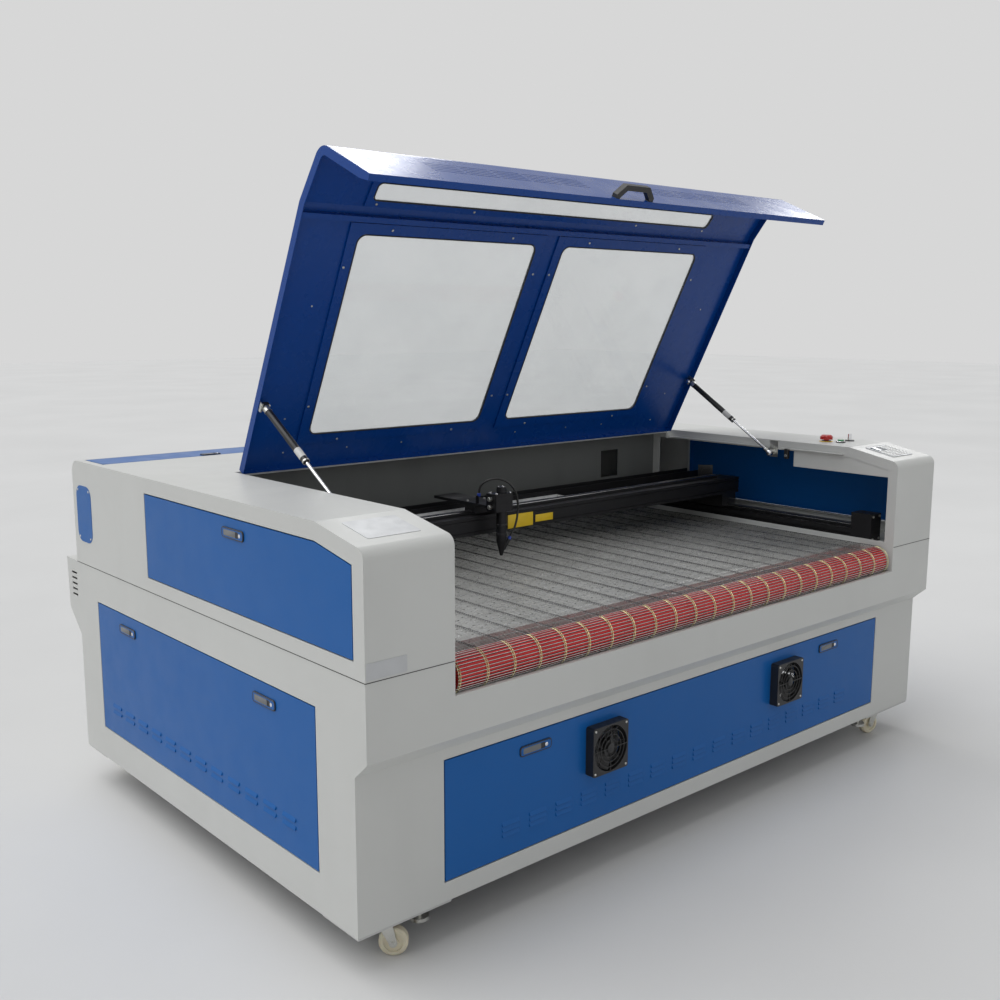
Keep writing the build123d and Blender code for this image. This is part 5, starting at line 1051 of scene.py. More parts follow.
@dataclass
class Conveyor(SubAssembly):
    """The wire belt on its rollers and the pierced sheet that carries it."""

    width: float = 1684.0
    side_margin: float = 4.0
    lines: int = 23
    wire: float = 0.62
    pitch: float = 7.6
    ride: float = 42.3
    front_y: float = 48.0
    rear_y: float = 1400.0
    axis_z: float = 597.7
    rear_share: float = 0.6
    hook_wire: float = 0.75
    hook_half: float = 3.0
    hook_waist: float = 1.1
    hook_reach: float = 1.08
    hook_rise: float = 1.2
    hook_drop: float = 0.9
    hole: float = 3.4
    hole_depth: float = 3.0
    hole_pitch: tuple[float, float] = (24.0, 27.0)
    first_hole: float = 0.75
    sliver: float = 0.01
    rubber: Colour = (0.56, 0.01, 0.012)
    # One groove, painted dark as the shadow of a wire, for each cross wire round the roller.
    rubber_ribs: int = 35
    rubber_half: float = 835.5

    def along_loop(self, distance: np.ndarray) -> tuple[np.ndarray, np.ndarray]:
        """Places on the belt's round.

        The round starts above the front roller's axis, turns down over the roller, runs back below,
        turns up over the rear roller and comes forward on top: a straight run is a straight line in the
        distance, and a turn is the angle distance over radius.

        Args:
            distance: millimetres along the round.

        Returns:
            The (y, z) places, and the angle in radians that the outward side has turned from upright.
        """
        run = self.rear_y - self.front_y
        arc = math.pi * self.ride
        part = np.mod(distance, 2 * run + 2 * arc)
        front, below, rear = part < arc, part < arc + run, part < 2 * arc + run
        angle = np.select([front, below, rear], [part / self.ride, np.full_like(part, math.pi),
                                                 (part - run) / self.ride], 2 * math.pi)
        base_y = np.select([front, below, rear],
                           [np.full_like(part, self.front_y), self.front_y + part - arc,
                            np.full_like(part, self.rear_y)], self.rear_y - (part - 2 * arc - run))
        places = np.stack([base_y - self.ride * np.sin(angle), self.axis_z + self.ride * np.cos(angle)],
                          axis=-1)
        return places, angle

    @property
    def length(self) -> float:
        """The belt's length."""
        return 2 * (self.rear_y - self.front_y) + 2 * math.pi * self.ride

    def wires(self) -> Shape:
        """Every cross wire: a straight rod at each step along the round.

        Returns:
            The wires of the whole belt.
        """
        count = round(self.length / self.pitch)
        places, _ = self.along_loop(np.arange(count) * self.length / count)
        ends = np.column_stack([np.full(count, self.width / 2), places])
        starts = ends * (-1.0, 1.0, 1.0)
        return rods(starts, ends, self.wire, 6)

    def hooks(self, turning: bool) -> Shape:
        """The bent hooks that link each wire to the next, in lines that run with the belt.

        A hook rises over the next wire and comes back under it: a short tube through four points.

        Args:
            turning: True for the hooks round the front roller, False for those on the top run and
                where they come up over the rear roller.

        Returns:
            The hooks of every line.
        """
        count = round(self.length / self.pitch)
        step = self.length / count
        arc = math.pi * self.ride
        run = self.rear_y - self.front_y
        distance = np.arange(count) * step
        seen = distance < arc if turning else distance > self.length - run - arc * self.rear_share
        places, angle = self.along_loop(distance[seen])
        half, waist, reach = self.hook_half, self.hook_waist, step * self.hook_reach
        bend = np.array([(-half, 0.0, 0.0), (-waist, reach, self.hook_rise),
                         (waist, reach, -self.hook_drop), (half, 0.0, 0.0)])
        hook = rods(bend[:-1], bend[1:], self.hook_wire, 4, capped=False)
        cosine, sine = np.cos(angle), np.sin(angle)
        turns = np.zeros((len(angle), 3, 3))
        turns[:, 0, 0] = -1.0
        turns[:, 1, 1], turns[:, 1, 2] = -cosine, -sine
        turns[:, 2, 1], turns[:, 2, 2] = -sine, cosine
        edge = self.width / 2 - self.side_margin
        columns = np.linspace(-edge, edge, self.lines)
        offsets = np.column_stack([np.repeat(columns, len(places)), np.tile(places, (self.lines, 1))])
        return hook.repeated(offsets, np.tile(turns, (self.lines, 1, 1)))

    def bed_cell(self, across: float, back: float, top: float) -> Shape:
        """One rectangle of the table sheet with a hole in its middle.

        Args:
            across: the rectangle's size along X.
            back: its size along Y.
            top: the height of the sheet's upper face.

        Returns:
            Eight faces from the rectangle's corners and middles to the hole's edge, and eight down it.
        """
        square = np.array([(1, 0), (1, 1), (0, 1), (-1, 1), (-1, 0), (-1, -1), (0, -1), (1, -1)], float)
        sides = len(square)
        outer = square * (across / 2, back / 2)
        inner = self.hole * ring(sides)
        levels = ((outer, top), (inner, top), (inner, top - self.hole_depth))
        return skin(np.stack([np.column_stack([edge, np.full(sides, z)]) for edge, z in levels]),
                    capped=False)

    def pierced_bed(self) -> Shape:
        """The table sheet with staggered round holes.

        It is a grid of cells with one hole each. Odd columns stand half a pitch further back, and plain
        strips fill the ends of each column.

        Returns:
            The sheet with its rim and its underside.
        """
        low, high = Layout.span("bed_plate")
        across, back = self.hole_pitch
        columns = int((high[0] - low[0]) // across)
        rows = int((high[1] - low[1]) // back) - 1
        across = (high[0] - low[0]) / columns
        back = (high[1] - low[1]) / (rows + 1)
        top = high[2]
        centre_x = low[0] + across * (np.arange(columns) + 0.5)
        centre_y = low[1] + back * (np.arange(rows) + self.first_hole)
        shift = np.where(np.arange(columns) % 2 == 0, 0.0, back / 2)
        y = (centre_y[None, :] + shift[:, None]).reshape(-1)
        offsets = np.column_stack([np.repeat(centre_x, rows), y, np.zeros(len(y))])
        holes = self.bed_cell(across, back, top).repeated(offsets)
        strips = []
        for middle, offset in zip(centre_x, shift):
            left, right = middle - across / 2, middle + across / 2
            ends = ((low[1], centre_y[0] + offset - back / 2), (centre_y[-1] + offset + back / 2, high[1]))
            strips += [quad([(left, start, top), (right, start, top), (right, end, top), (left, end, top)])
                       for start, end in ends if end - start > self.sliver]
        rim = np.array([(low[0], low[1]), (high[0], low[1]), (high[0], high[1]), (low[0], high[1])])
        walls = skin(np.stack([np.column_stack([rim, np.full(4, z)]) for z in (low[2], top)]), capped=False)
        floor = quad(np.column_stack([rim, np.full(4, low[2])])[::-1])
        return joined([holes, walls, floor, *strips])

    def build(self) -> None:
        """Makes the belt and its bed."""
        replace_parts(piece("belt_wires", self.wires(), WIRE, "cabinet", 60.0), "mesh_belt")
        piece("belt_links_on_roller", self.hooks(True), LINK, "cabinet", 60.0)
        # The hooks on the bed take the near-black copy: painted shade.
        piece("belt_links_on_bed", self.hooks(False), SHADED_LINK, "cabinet", 60.0)
        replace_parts(piece("pierced_bed", self.pierced_bed(), BED_STEEL, "cabinet", 30.0), "bed_plate")

    def coats(self) -> dict[Finish, list[str]]:
        """A ribbed rubber sleeve on each roller with painted wire shadows in its grooves, and cast
        bearings.
        """
        sleeves = {
            RibbedRubber(name + "_sleeve", "red_rubber", self.rubber, 0.5, self.rubber_ribs,
                         (y - Layout.origin_y) / PER_METRE, self.axis_z / PER_METRE,
                         self.rubber_half / PER_METRE): [name]
            for name, y in (("front_roller", self.front_y), ("rear_roller", self.rear_y))}
        return {**sleeves, CAST: ["roller_bearings"]}


@dataclass
class Lid(SubAssembly):
    """The open lid with its panes, screws, hinges and gas struts."""

    hinge: tuple[float, float] = (896.0, 938.0)
    angle: float = 63.3
    rear: float = 893.0
    top: float = 932.0
    slope: tuple[float, float] = (166.0, 33.0)
    depth: float = 7.0
    window_x: tuple[float, float] = (-375.0, 315.0)
    window_size: tuple[float, float] = (590.0, 565.0)
    window_start: float = 95.0
    window_corner: float = 24.0
    narrow_x: float = -30.0
    narrow_size: tuple[float, float] = (1256.0, 52.0)
    narrow_start: float = 19.0
    narrow_corner: float = 13.0
    beads: tuple[tuple[float, float], ...] = ((1.9, -6.8), (1.0, -1.2))
    screw_sink: float = 0.1
    screw_shares: tuple[float, float] = (0.336, 0.344)
    screw_margin: float = 19.0
    front_margin: float = 13.0
    narrow_screws: tuple[float, ...] = (-612.0, -308.0, 308.0, 612.0)
    narrow_margin: float = 8.0
    border_screws: tuple[float, ...] = (-729.0, -529.0, -344.0, 94.0, 315.0, 482.0, 729.0)
    border_y: float = 850.0
    side_x: float = 748.0
    side_screws: tuple[float, float] = (427.0, 746.0)
    rib_screws: tuple[float, float] = (-394.0, 334.0)
    rib_y: float = 203.0
    sheet_face: float = -1.9
    strut_x: float = 830.2
    strut_low: tuple[float, float] = (440.0, 892.0)
    strut_high: tuple[float, float] = (778.875, 1108.56)
    strut_tube: float = 225.0
    strut_bore: float = 8.8
    strut_ribs: int = 9
    strut_rib_pitch: float = 5.0
    ball_seats: tuple[float, float] = (5.2, 9.3)

    def opened(self, shape: Shape) -> Shape:
        """Turns a piece made for the closed lid to where the open lid has it."""
        y, z = self.hinge
        return shape.moved(y=-y, z=-z).turned(turn_x(-self.angle)).moved(y=y, z=z)

    def on_flat(self, shape: Shape) -> Shape:
        """Places a piece made with y = minus its distance from the lid's rear edge, z = 0 outside."""
        return self.opened(shape.moved(y=self.rear, z=self.top))

    def on_slope(self, shape: Shape) -> Shape:
        """Places a piece on the sloped stretch in front of the flat one.

        Args:
            shape: the piece, made with y = minus its distance from the bend and z = 0 outside.

        Returns:
            The piece where the open lid has it.
        """
        run, drop = self.slope
        turned = shape.turned(turn_x(math.degrees(math.atan2(drop, run))))
        return self.opened(turned.moved(y=run, z=self.top))

    def screws(self) -> list[Shape]:
        """Pan heads in the frames of the panes, along the lid's border and beside its rib.

        Returns:
            The heads on the flat of the lid, and those on its slope.
        """
        width, length = self.window_size
        middle = -self.window_start - length / 2
        spots = []
        for centre in self.window_x:
            for sign in (-1, 1):
                x, y = sign * width * self.screw_shares[0], sign * length * self.screw_shares[1]
                spots += [(centre + x, middle + length / 2 + self.screw_margin),
                          (centre + x, middle - length / 2 - self.front_margin),
                          (centre - width / 2 - self.screw_margin, middle + y),
                          (centre + width / 2 + self.screw_margin, middle + y)]
        head = pan_head(3.6, 2.2).turned(Wall.UNDER.axes)
        face = self.screw_sink - self.depth
        frames = head.repeated(np.array([(x, y, face) for x, y in spots]))
        rows = (self.narrow_margin - self.narrow_start,
                -self.narrow_start - self.narrow_size[1] - self.narrow_margin)
        narrow = head.repeated(np.array([(self.narrow_x + x, y, face)
                                         for x in self.narrow_screws for y in rows]))
        sheet = [(x, self.border_y) for x in self.border_screws]
        sheet += [(side * self.side_x, y) for side in (-1, 1) for y in self.side_screws]
        sheet += [(x, self.rib_y) for x in self.rib_screws]
        small = pan_head(2.8, 1.8).turned(Wall.UNDER.axes)
        border = small.repeated(np.array([(x, y - self.rear, self.sheet_face) for x, y in sheet]))
        return [self.on_flat(frames + border), self.on_slope(narrow)]

    def gaskets(self) -> list[Shape]:
        """The black rubber in each pane's hole, inside and outside: a round bead along the edge.

        Returns:
            Two beads for each pane.
        """
        large = [(self.on_flat, x, self.window_start, self.window_size, self.window_corner)
                 for x in self.window_x]
        narrow = (self.on_slope, self.narrow_x, self.narrow_start, self.narrow_size, self.narrow_corner)
        placed = []
        for place, centre, start, (width, length), corner in (*large, narrow):
            for bead, z in self.beads:
                rim = pad(width - 2 * bead, length - 2 * bead, corner, [(0, 0), (0, 1)], 6)
                path = rim.points[: len(rim.points) // 2]
                path = np.concatenate([path, path[:2]]) + (centre, -start - length / 2, z)
                placed.append(place(tube(path, bead, 6)))
        return placed

    def strut_pieces(self) -> None:
        """The rings, bands and ball joints of both gas struts, measured from the lower pivot."""
        low = np.array([-self.strut_x, *self.strut_low])
        high = np.array([-self.strut_x, *self.strut_high])
        length = float(np.linalg.norm(high - low))
        axes = along(tuple(high - low))
        gland = length - self.strut_tube
        bore, pitch = self.strut_bore, self.strut_rib_pitch
        ribs = joined(sleeve(9.3, bore, gland + 56 + pitch * step, gland + 58.4 + pitch * step)
                      for step in range(self.strut_ribs))
        rings = (("tube", "gland_ring", sleeve(9.35, 8.0, gland - 1.2, gland + 3), ZINC),
                 ("tube", "white_band", sleeve(9.25, bore, gland + 14, gland + 46), WHITE_PLASTIC),
                 ("tube", "ribs", ribs, BLACK_PLASTIC),
                 ("rod", "end_collar", lathe([5.2, 6.2, 6.2, 4.6], [9.0, 10.5, 21.0, 23.5], 18), ZINC),
                 ("tube", "socket_sleeve", sleeve(9.7, bore, length - 26, length - 10), ZINC))
        placed = [(part, name, shape.turned(axes).moved(*low), finish)
                  for part, name, shape, finish in rings]
        ball = lathe([7.6, 8.2, 6.4, 2.5], [0, 2.0, 5.0, 6.4], 18).turned(along((1, 0, 0)))
        lower, upper = self.ball_seats
        balls = [("rod", "lower_ball", ball.moved(-self.strut_x + lower, *self.strut_low), CHROME),
                 ("tube", "upper_ball", ball.moved(-self.strut_x + upper, *self.strut_high), CHROME)]
        for part, name, shape, finish in placed + balls:
            for side, copy in (("left", shape), ("right", shape.mirrored())):
                piece(f"{side}_strut_{name}", copy, finish, f"{side}_strut_{part}")

    def build(self) -> None:
        """Makes the lid's small pieces."""
        piece("retainer_screws", joined(self.screws()), ZINC, "lid")
        piece("pane_gaskets", joined(self.gaskets()), HOSE, "lid")
        self.strut_pieces()

    def coats(self) -> dict[Finish, list[str]]:
        """A lid painted a darker blue as painted shade, with clear panes, zinc hinges, bright strut rods
        and black strut tubes.
        """
        return {
            SHADED_LID_BLUE: ["lid_frame", "window_retainers"],
            PANE: ["lid_windows"],
            BLACK_PLASTIC: ["lid_handle"],
            ZINC: ["lid_fittings", "lid_mountings"],
            CHROME: ["left_strut_rod", "right_strut_rod"],
            BLACK_PAINT: ["left_strut_tube", "right_strut_tube"],
        }


@dataclass
class Gantry(SubAssembly):
    """The rails, the beam, its belts, pulleys, chain and mirrors.

    A cable of the chain is its place along Y and Z from the tray's middle, and its radius.
    """

    rail_x: float = 888.0
    rail_ends: tuple[float, float] = (151.0, 949.0)
    guide_top: float = 690.0
    guide_half: float = 7.5
    beam_half: float = 834.0
    beam_guide: tuple[float, float] = (660.0, 797.0)
    strip: float = 2.6
    strip_proud: float = 0.2
    belt_wall: float = 1.6
    beam_belt_half: float = 848.0
    beam_belt: tuple[float, float] = (718.0, 774.0)
    rail_belt_ends: tuple[float, float] = (116.0, 930.0)
    rail_belt_z: float = 702.0
    idler_face: float = 80.2
    idler_screw_x: float = 18.0
    idler_screw_z: tuple[float, float] = (652.0, 722.0)
    shelf_top: float = 760.0
    shelf_front: float = 700.4
    shelf_rear: float = 789.7
    sheet: float = 0.7
    sheet_rise: float = 17.5
    sheet_end: float = 205.0
    chain_links: int = 24
    chain_pitch: float = 25.0
    chain_start: float = -864.0
    chain_y: float = 820.0
    chain_sway: float = 1.2
    link_half: float = 9.5
    link_near: float = 6.0
    link_lap: float = 4.0
    link_wall: float = 2.2
    link_plates: tuple[float, float] = (-15.4, 13.4)
    link_bars: tuple[float, float] = (18.0, 0.1)
    cables: tuple[tuple[float, float, float], ...] = ((-8.0, 7.0, 3.4), (0.0, 6.5, 2.8), (7.5, 8.0, 3.8))
    cable_lead: float = 6.0
    mirror_place: tuple[float, float] = (745.0, 760.0)
    mirror_face: float = 5.8
    knob_spots: tuple[tuple[float, float], ...] = ((-17.0, 12.0), (17.0, 12.0), (-17.0, 46.0))
    carriage_top: float = 733.0
    carriage_bolt_x: float = 27.0
    carriage_bolt_y: tuple[float, float] = (650.0, 780.0)
    beam_face: float = 620.0
    plate_spans: tuple[tuple[float, ...], ...] = (
        (-157.0, -60.0, 736.0, 775.0), (-50.0, 20.0, 743.0, 764.0))

    def guide_strips(self) -> None:
        """The bright rods let into the top edges of every guide."""
        inset = self.guide_half - self.strip + self.strip_proud
        drop = self.strip - self.strip_proud
        y, z = self.beam_guide
        beam = rods([(-self.beam_half, y + side * inset, z - drop) for side in (-1, 1)],
                    [(self.beam_half, y + side * inset, z - drop) for side in (-1, 1)], self.strip, 12)
        piece("beam_guide_rods", beam, CHROME, "gantry")
        start, end = self.rail_ends
        xs = [sign * self.rail_x + side * inset for sign in (-1, 1) for side in (-1, 1)]
        rails = rods([(x, start, self.guide_top - drop) for x in xs],
                     [(x, end, self.guide_top - drop) for x in xs], self.strip, 12)
        piece("rail_guide_rods", rails, CHROME, "cabinet")

    def timing_belt(self, start: float, end: float, radius: float, width: float) -> Shape:
        """A belt loop in X and Z round two pulleys, with its width along Y.

        The round is two straight runs and two half circles. Each point has an outer and an inner
        place, so that a row of the grid is the belt's section there.

        Args:
            start: the X of the first pulley's axis.
            end: the X of the second pulley's axis.
            radius: how far the middle of the belt's wall runs from each axis.
            width: the belt's width.

        Returns:
            The belt.
        """
        turn = np.linspace(-math.pi / 2, math.pi / 2, 9)
        half_round = np.column_stack([np.cos(turn), np.sin(turn)])
        normal = np.concatenate([half_round, -half_round])
        axis = np.repeat([(end, 0.0), (start, 0.0)], len(turn), axis=0)
        outer = axis + (radius + self.belt_wall / 2) * normal
        inner = axis + (radius - self.belt_wall / 2) * normal
        half = width / 2
        section = [(outer, -half), (outer, half), (inner, half), (inner, -half)]
        grid = np.stack([np.column_stack([edge[:, 0], np.full(len(edge), y), edge[:, 1]])
                         for edge, y in section], axis=1)
        return skin(np.concatenate([grid, grid[:1]], axis=0), capped=False)

    def belts(self) -> None:
        """The timing belts of the beam and of both rails, with their pulleys."""
        y, z = self.beam_belt
        half = self.beam_belt_half
        beam = self.timing_belt(-half, half, 7.0, 12.0).moved(y=y, z=z)
        piece("beam_timing_belt", beam, TIMING, "gantry")
        pulley = lathe([9.5, 9.5, 6.2, 6.2, 9.5, 9.5, 4.0], [-9, -7.5, -7, 7, 7.5, 9, 9])
        spots = np.array([(-half, y, z), (half, y, z)])
        piece("beam_pulleys", pulley.turned(along((0, 1, 0))).repeated(spots), CHROME, "gantry")
        along_y = self.timing_belt(*self.rail_belt_ends, 9.0, 10.0).turned(turn_z(90.0))
        both = joined(along_y.moved(x=side * self.rail_x, z=self.rail_belt_z) for side in (-1, 1))
        piece("rail_timing_belts", both, TIMING, "cabinet")
        idler = lathe([13, 13, 8.2, 8.2, 13, 13, 5.0], [-9, -7, -6.5, 6.5, 7, 9, 9], 28)
        spots = np.array([(side * self.rail_x, end, self.rail_belt_z)
                          for side in (-1, 1) for end in self.rail_belt_ends])
        piece("rail_pulleys", idler.turned(along((1, 0, 0))).repeated(spots), CHROME, "cabinet")
        screw = cap_screw(4.2, 3.0).turned(along((0, -1, 0)))
        spots = np.array([(side * self.rail_x + dx, self.idler_face, z) for side in (-1, 1)
                          for dx in (-self.idler_screw_x, self.idler_screw_x) for z in self.idler_screw_z])
        piece("idler_screws", screw.repeated(spots), ZINC, "cabinet")

    def chain_link(self) -> Shape:
        """One link of the cable chain: two side plates with round ends, and two bars across.

        A plate's outline is a half circle at its far end and a flatter half ellipse at its near end,
        which laps the plate before it.

        Returns:
            The link, standing on Z = 0 from X = 0 on.
        """
        angle = np.linspace(-math.pi / 2, math.pi / 2, 7)
        half, lap = self.link_half, self.link_lap
        far = np.stack([self.chain_pitch - lap + half * np.cos(angle), half * np.sin(angle)], axis=-1)
        near = np.stack([lap - self.link_near * np.cos(angle), -half * np.sin(angle)], axis=-1)
        outline = np.concatenate([far, near])
        rows = [np.column_stack([outline[:, 0], np.full(len(outline), y), outline[:, 1]])
                for y in (self.link_wall, 0.0)]
        plate = skin(np.stack(rows)).moved(z=half + 0.5)
        bar = block(7.0, 33.0, 2.2, 0.4, 0.6).moved(x=self.chain_pitch / 2 - 1)
        return joined([*(plate.moved(y=y) for y in self.link_plates),
                       *(bar.moved(z=z) for z in self.link_bars)])

    def chain(self) -> None:
        """The cable chain in its tray, each second link a little aside, and the cables through it."""
        number = np.arange(self.chain_links)
        offsets = np.column_stack([self.chain_start + number * self.chain_pitch,
                                   self.chain_y + np.where(number % 2 == 0, 0.0, self.chain_sway),
                                   np.full(self.chain_links, self.shelf_top)])
        links = piece("cable_chain_links", self.chain_link().repeated(offsets), GREY_PLASTIC, "gantry")
        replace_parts(links, "drag_chain")
        start = self.chain_start - self.cable_lead
        end = self.chain_start + self.chain_links * self.chain_pitch
        cables = joined(rods([(start, self.chain_y + dy, self.shelf_top + dz)],
                             [(end, self.chain_y + dy, self.shelf_top + dz)], radius, 10)
                        for dy, dz, radius in self.cables)
        piece("chain_cables", cables, HOSE, "gantry")

    def mirrors(self) -> None:
        """The three knurled screws on each mirror mount, and the bolts on the carriages."""
        knob = lathe([3.6, 4.2, 4.2, 3.6, 1.8, 1.8], [0, 0.6, 5.4, 6.0, 6.0, 9.0], 14)
        spots = np.array([(dx, self.mirror_face, dz) for dx, dz in self.knob_spots])
        knobs = knob.turned(along((0, 1, 0))).repeated(spots).turned(turn_z(45.0))
        left = knobs.moved(-self.rail_x, *self.mirror_place)
        piece("mirror_knobs", left + left.mirrored(), BRASS, "gantry")
        spots = np.array([(sign * (self.rail_x + dx), y, self.carriage_top) for sign in (-1, 1)
                          for dx in (-self.carriage_bolt_x, self.carriage_bolt_x)
                          for y in self.carriage_bolt_y])
        piece("carriage_bolts", cap_screw(4.0, 3.6).repeated(spots), ZINC, "gantry")

    def bare_sheet(self) -> None:
        """The bright folded sheet on the shelf behind the beam, and up the front of the chain tray."""
        start, end, top, wall = self.shelf_front, self.shelf_rear, self.shelf_top, self.sheet
        section = np.array([(start, top + 0.05), (end - wall, top + 0.05), (end, top + 0.1),
                            (end, top + self.sheet_rise), (end - wall, top + self.sheet_rise),
                            (end - wall, top + 0.8), (start, top + 0.8)])
        rows = [np.column_stack([np.full(len(section), x), section])
                for x in (-self.beam_half, self.sheet_end)]
        lip = block(1.2, 60.0, 16.0, 0.2, 0.3).moved(self.sheet_end, 758.0, top)
        piece("shelf_sheet", skin(np.stack(rows)) + lip, BARE_SHEET, "gantry")

    def plates(self) -> None:
        """Two bare yellow plates on the beam's face."""
        made = [pad(right - left, high - low, 1.5, [(0, -0.2), (0, 0.5), (0.2, 0.6)], 2)
                .turned(Wall.FRONT.axes).moved((left + right) / 2, self.beam_face, (low + high) / 2)
                for left, right, low, high in self.plate_spans]
        piece("beam_plates", joined(made), YELLOW_FILM, "gantry")

    def build(self) -> None:
        """Makes the gantry's visible detail."""
        self.guide_strips()
        self.belts()
        self.chain()
        self.mirrors()
        self.bare_sheet()
        self.plates()

    def coats(self) -> dict[Finish, list[str]]:
        """Black anodised profiles and black carriages."""
        return {
            BLACK_ANODISED: ["y_rails", "gantry_beam", "laser_head"],
            BLACK_PAINT: ["gantry_carriages"],
        }


@dataclass
class Head(SubAssembly):
    """The laser head's screws, knobs and rings, and the fittings of its air hose."""

    x: float = -224.0
    y: float = 572.0
    block_top: float = 852.0
    block_screws: tuple[tuple[float, float], ...] = (
        (-29.0, -13.0), (-29.0, 13.0), (18.5, 15.0), (18.5, -15.0))
    clamp_face: float = 37.2
    clamp_knobs: tuple[float, float] = (838.0, 816.0)
    rings: tuple[tuple[float, float], ...] = ((731.0, 740.0), (760.0, 766.0))
    tube_top: float = 864.0
    cap_height: float = 5.0
    cap_circle: float = 8.0
    cap_angles: tuple[float, ...] = (30.0, 150.0, 270.0)
    upper_fitting: Place = (-30.0, 60.0, 838.0)
    lower_fitting: Place = (27.0, 0.0, 718.2)
    lower_direction: Place = (0.614, 0.0, 0.789)
    arm_top: float = 819.0
    arm_screw_x: float = 30.0
    arm_screw_y: tuple[float, float] = (640.0, 680.0)

    def build(self) -> None:
        """Makes the head's small pieces."""
        self.clamps()
        self.lens_tube()
        self.fittings()
        spots = np.array([(self.x + dx, y, self.arm_top) for dx in (-self.arm_screw_x, self.arm_screw_x)
                          for y in self.arm_screw_y])
        piece("head_arm_screws", cap_screw(3.6, 3.4).repeated(spots), ZINC, "laser_head")

    def clamps(self) -> None:
        """The screws on the block and the two knobs that clamp the lens tube in it."""
        spots = np.array([(self.x + dx, self.y + dy, self.block_top) for dx, dy in self.block_screws])
        piece("head_block_screws", cap_screw(3.4, 3.2).repeated(spots), CHROME, "laser_head")
        knob = lathe([4.0, 6.0, 6.0, 5.2, 2.0], [0, 1.0, 9.0, 10.0, 10.0], 20).turned(along((-1, 0, 0)))
        knobs = joined(knob.moved(self.x - self.clamp_face, self.y, z) for z in self.clamp_knobs)
        piece("head_clamp_knobs", knobs, ZINC, "laser_head")

    def lens_tube(self) -> None:
        """The knurled rings, the nozzle's cone, and the cap with its three screws."""
        rings = joined(lathe([14.6, 15.4, 15.4, 14.6], [low, low + 1, high - 1, high], 36)
                       for low, high in self.rings)
        piece("lens_tube_rings", rings.moved(self.x, self.y), BLACK_PAINT, "lens_tube")
        cone = lathe([4.3, 4.9, 14.25, 14.25], [676.9, 679.5, 719.0, 722.0], 32)
        piece("nozzle_cone", cone.moved(self.x, self.y), BLACK_ANODISED, "lens_tube")
        top = self.tube_top + self.cap_height
        cap = lathe([13.0, 13.0, 11.0], [self.tube_top, top - 1.0, top], 32)
        piece("lens_tube_cap", cap.moved(self.x, self.y), BLACK_ANODISED, "lens_tube")
        angles = np.radians(self.cap_angles)
        spots = np.column_stack([self.x + self.cap_circle * np.cos(angles),
                                 self.y + self.cap_circle * np.sin(angles), np.full(len(angles), top)])
        piece("lens_cap_screws", cap_screw(2.2, 2.2).repeated(spots), CHROME, "lens_tube")

    def fittings(self) -> None:
        """The blue push-in fittings at both ends of the hose."""
        socket = lathe([4.6, 5.2, 5.2, 4.4], [0, 0.8, 8.0, 9.0], 20)
        upper = socket.moved(*self.upper_fitting).moved(self.x, self.y)
        piece("hose_fitting_upper", upper, BLUE_PLASTIC, "laser_head")
        lower = socket.turned(along(self.lower_direction)).moved(*self.lower_fitting).moved(self.x, self.y)
        piece("hose_fitting_lower", lower, BLUE_PLASTIC, "lens_tube")

    def coats(self) -> dict[Finish, list[str]]:
        """A black lens tube."""
        return {BLACK_ANODISED: ["lens_tube"]}


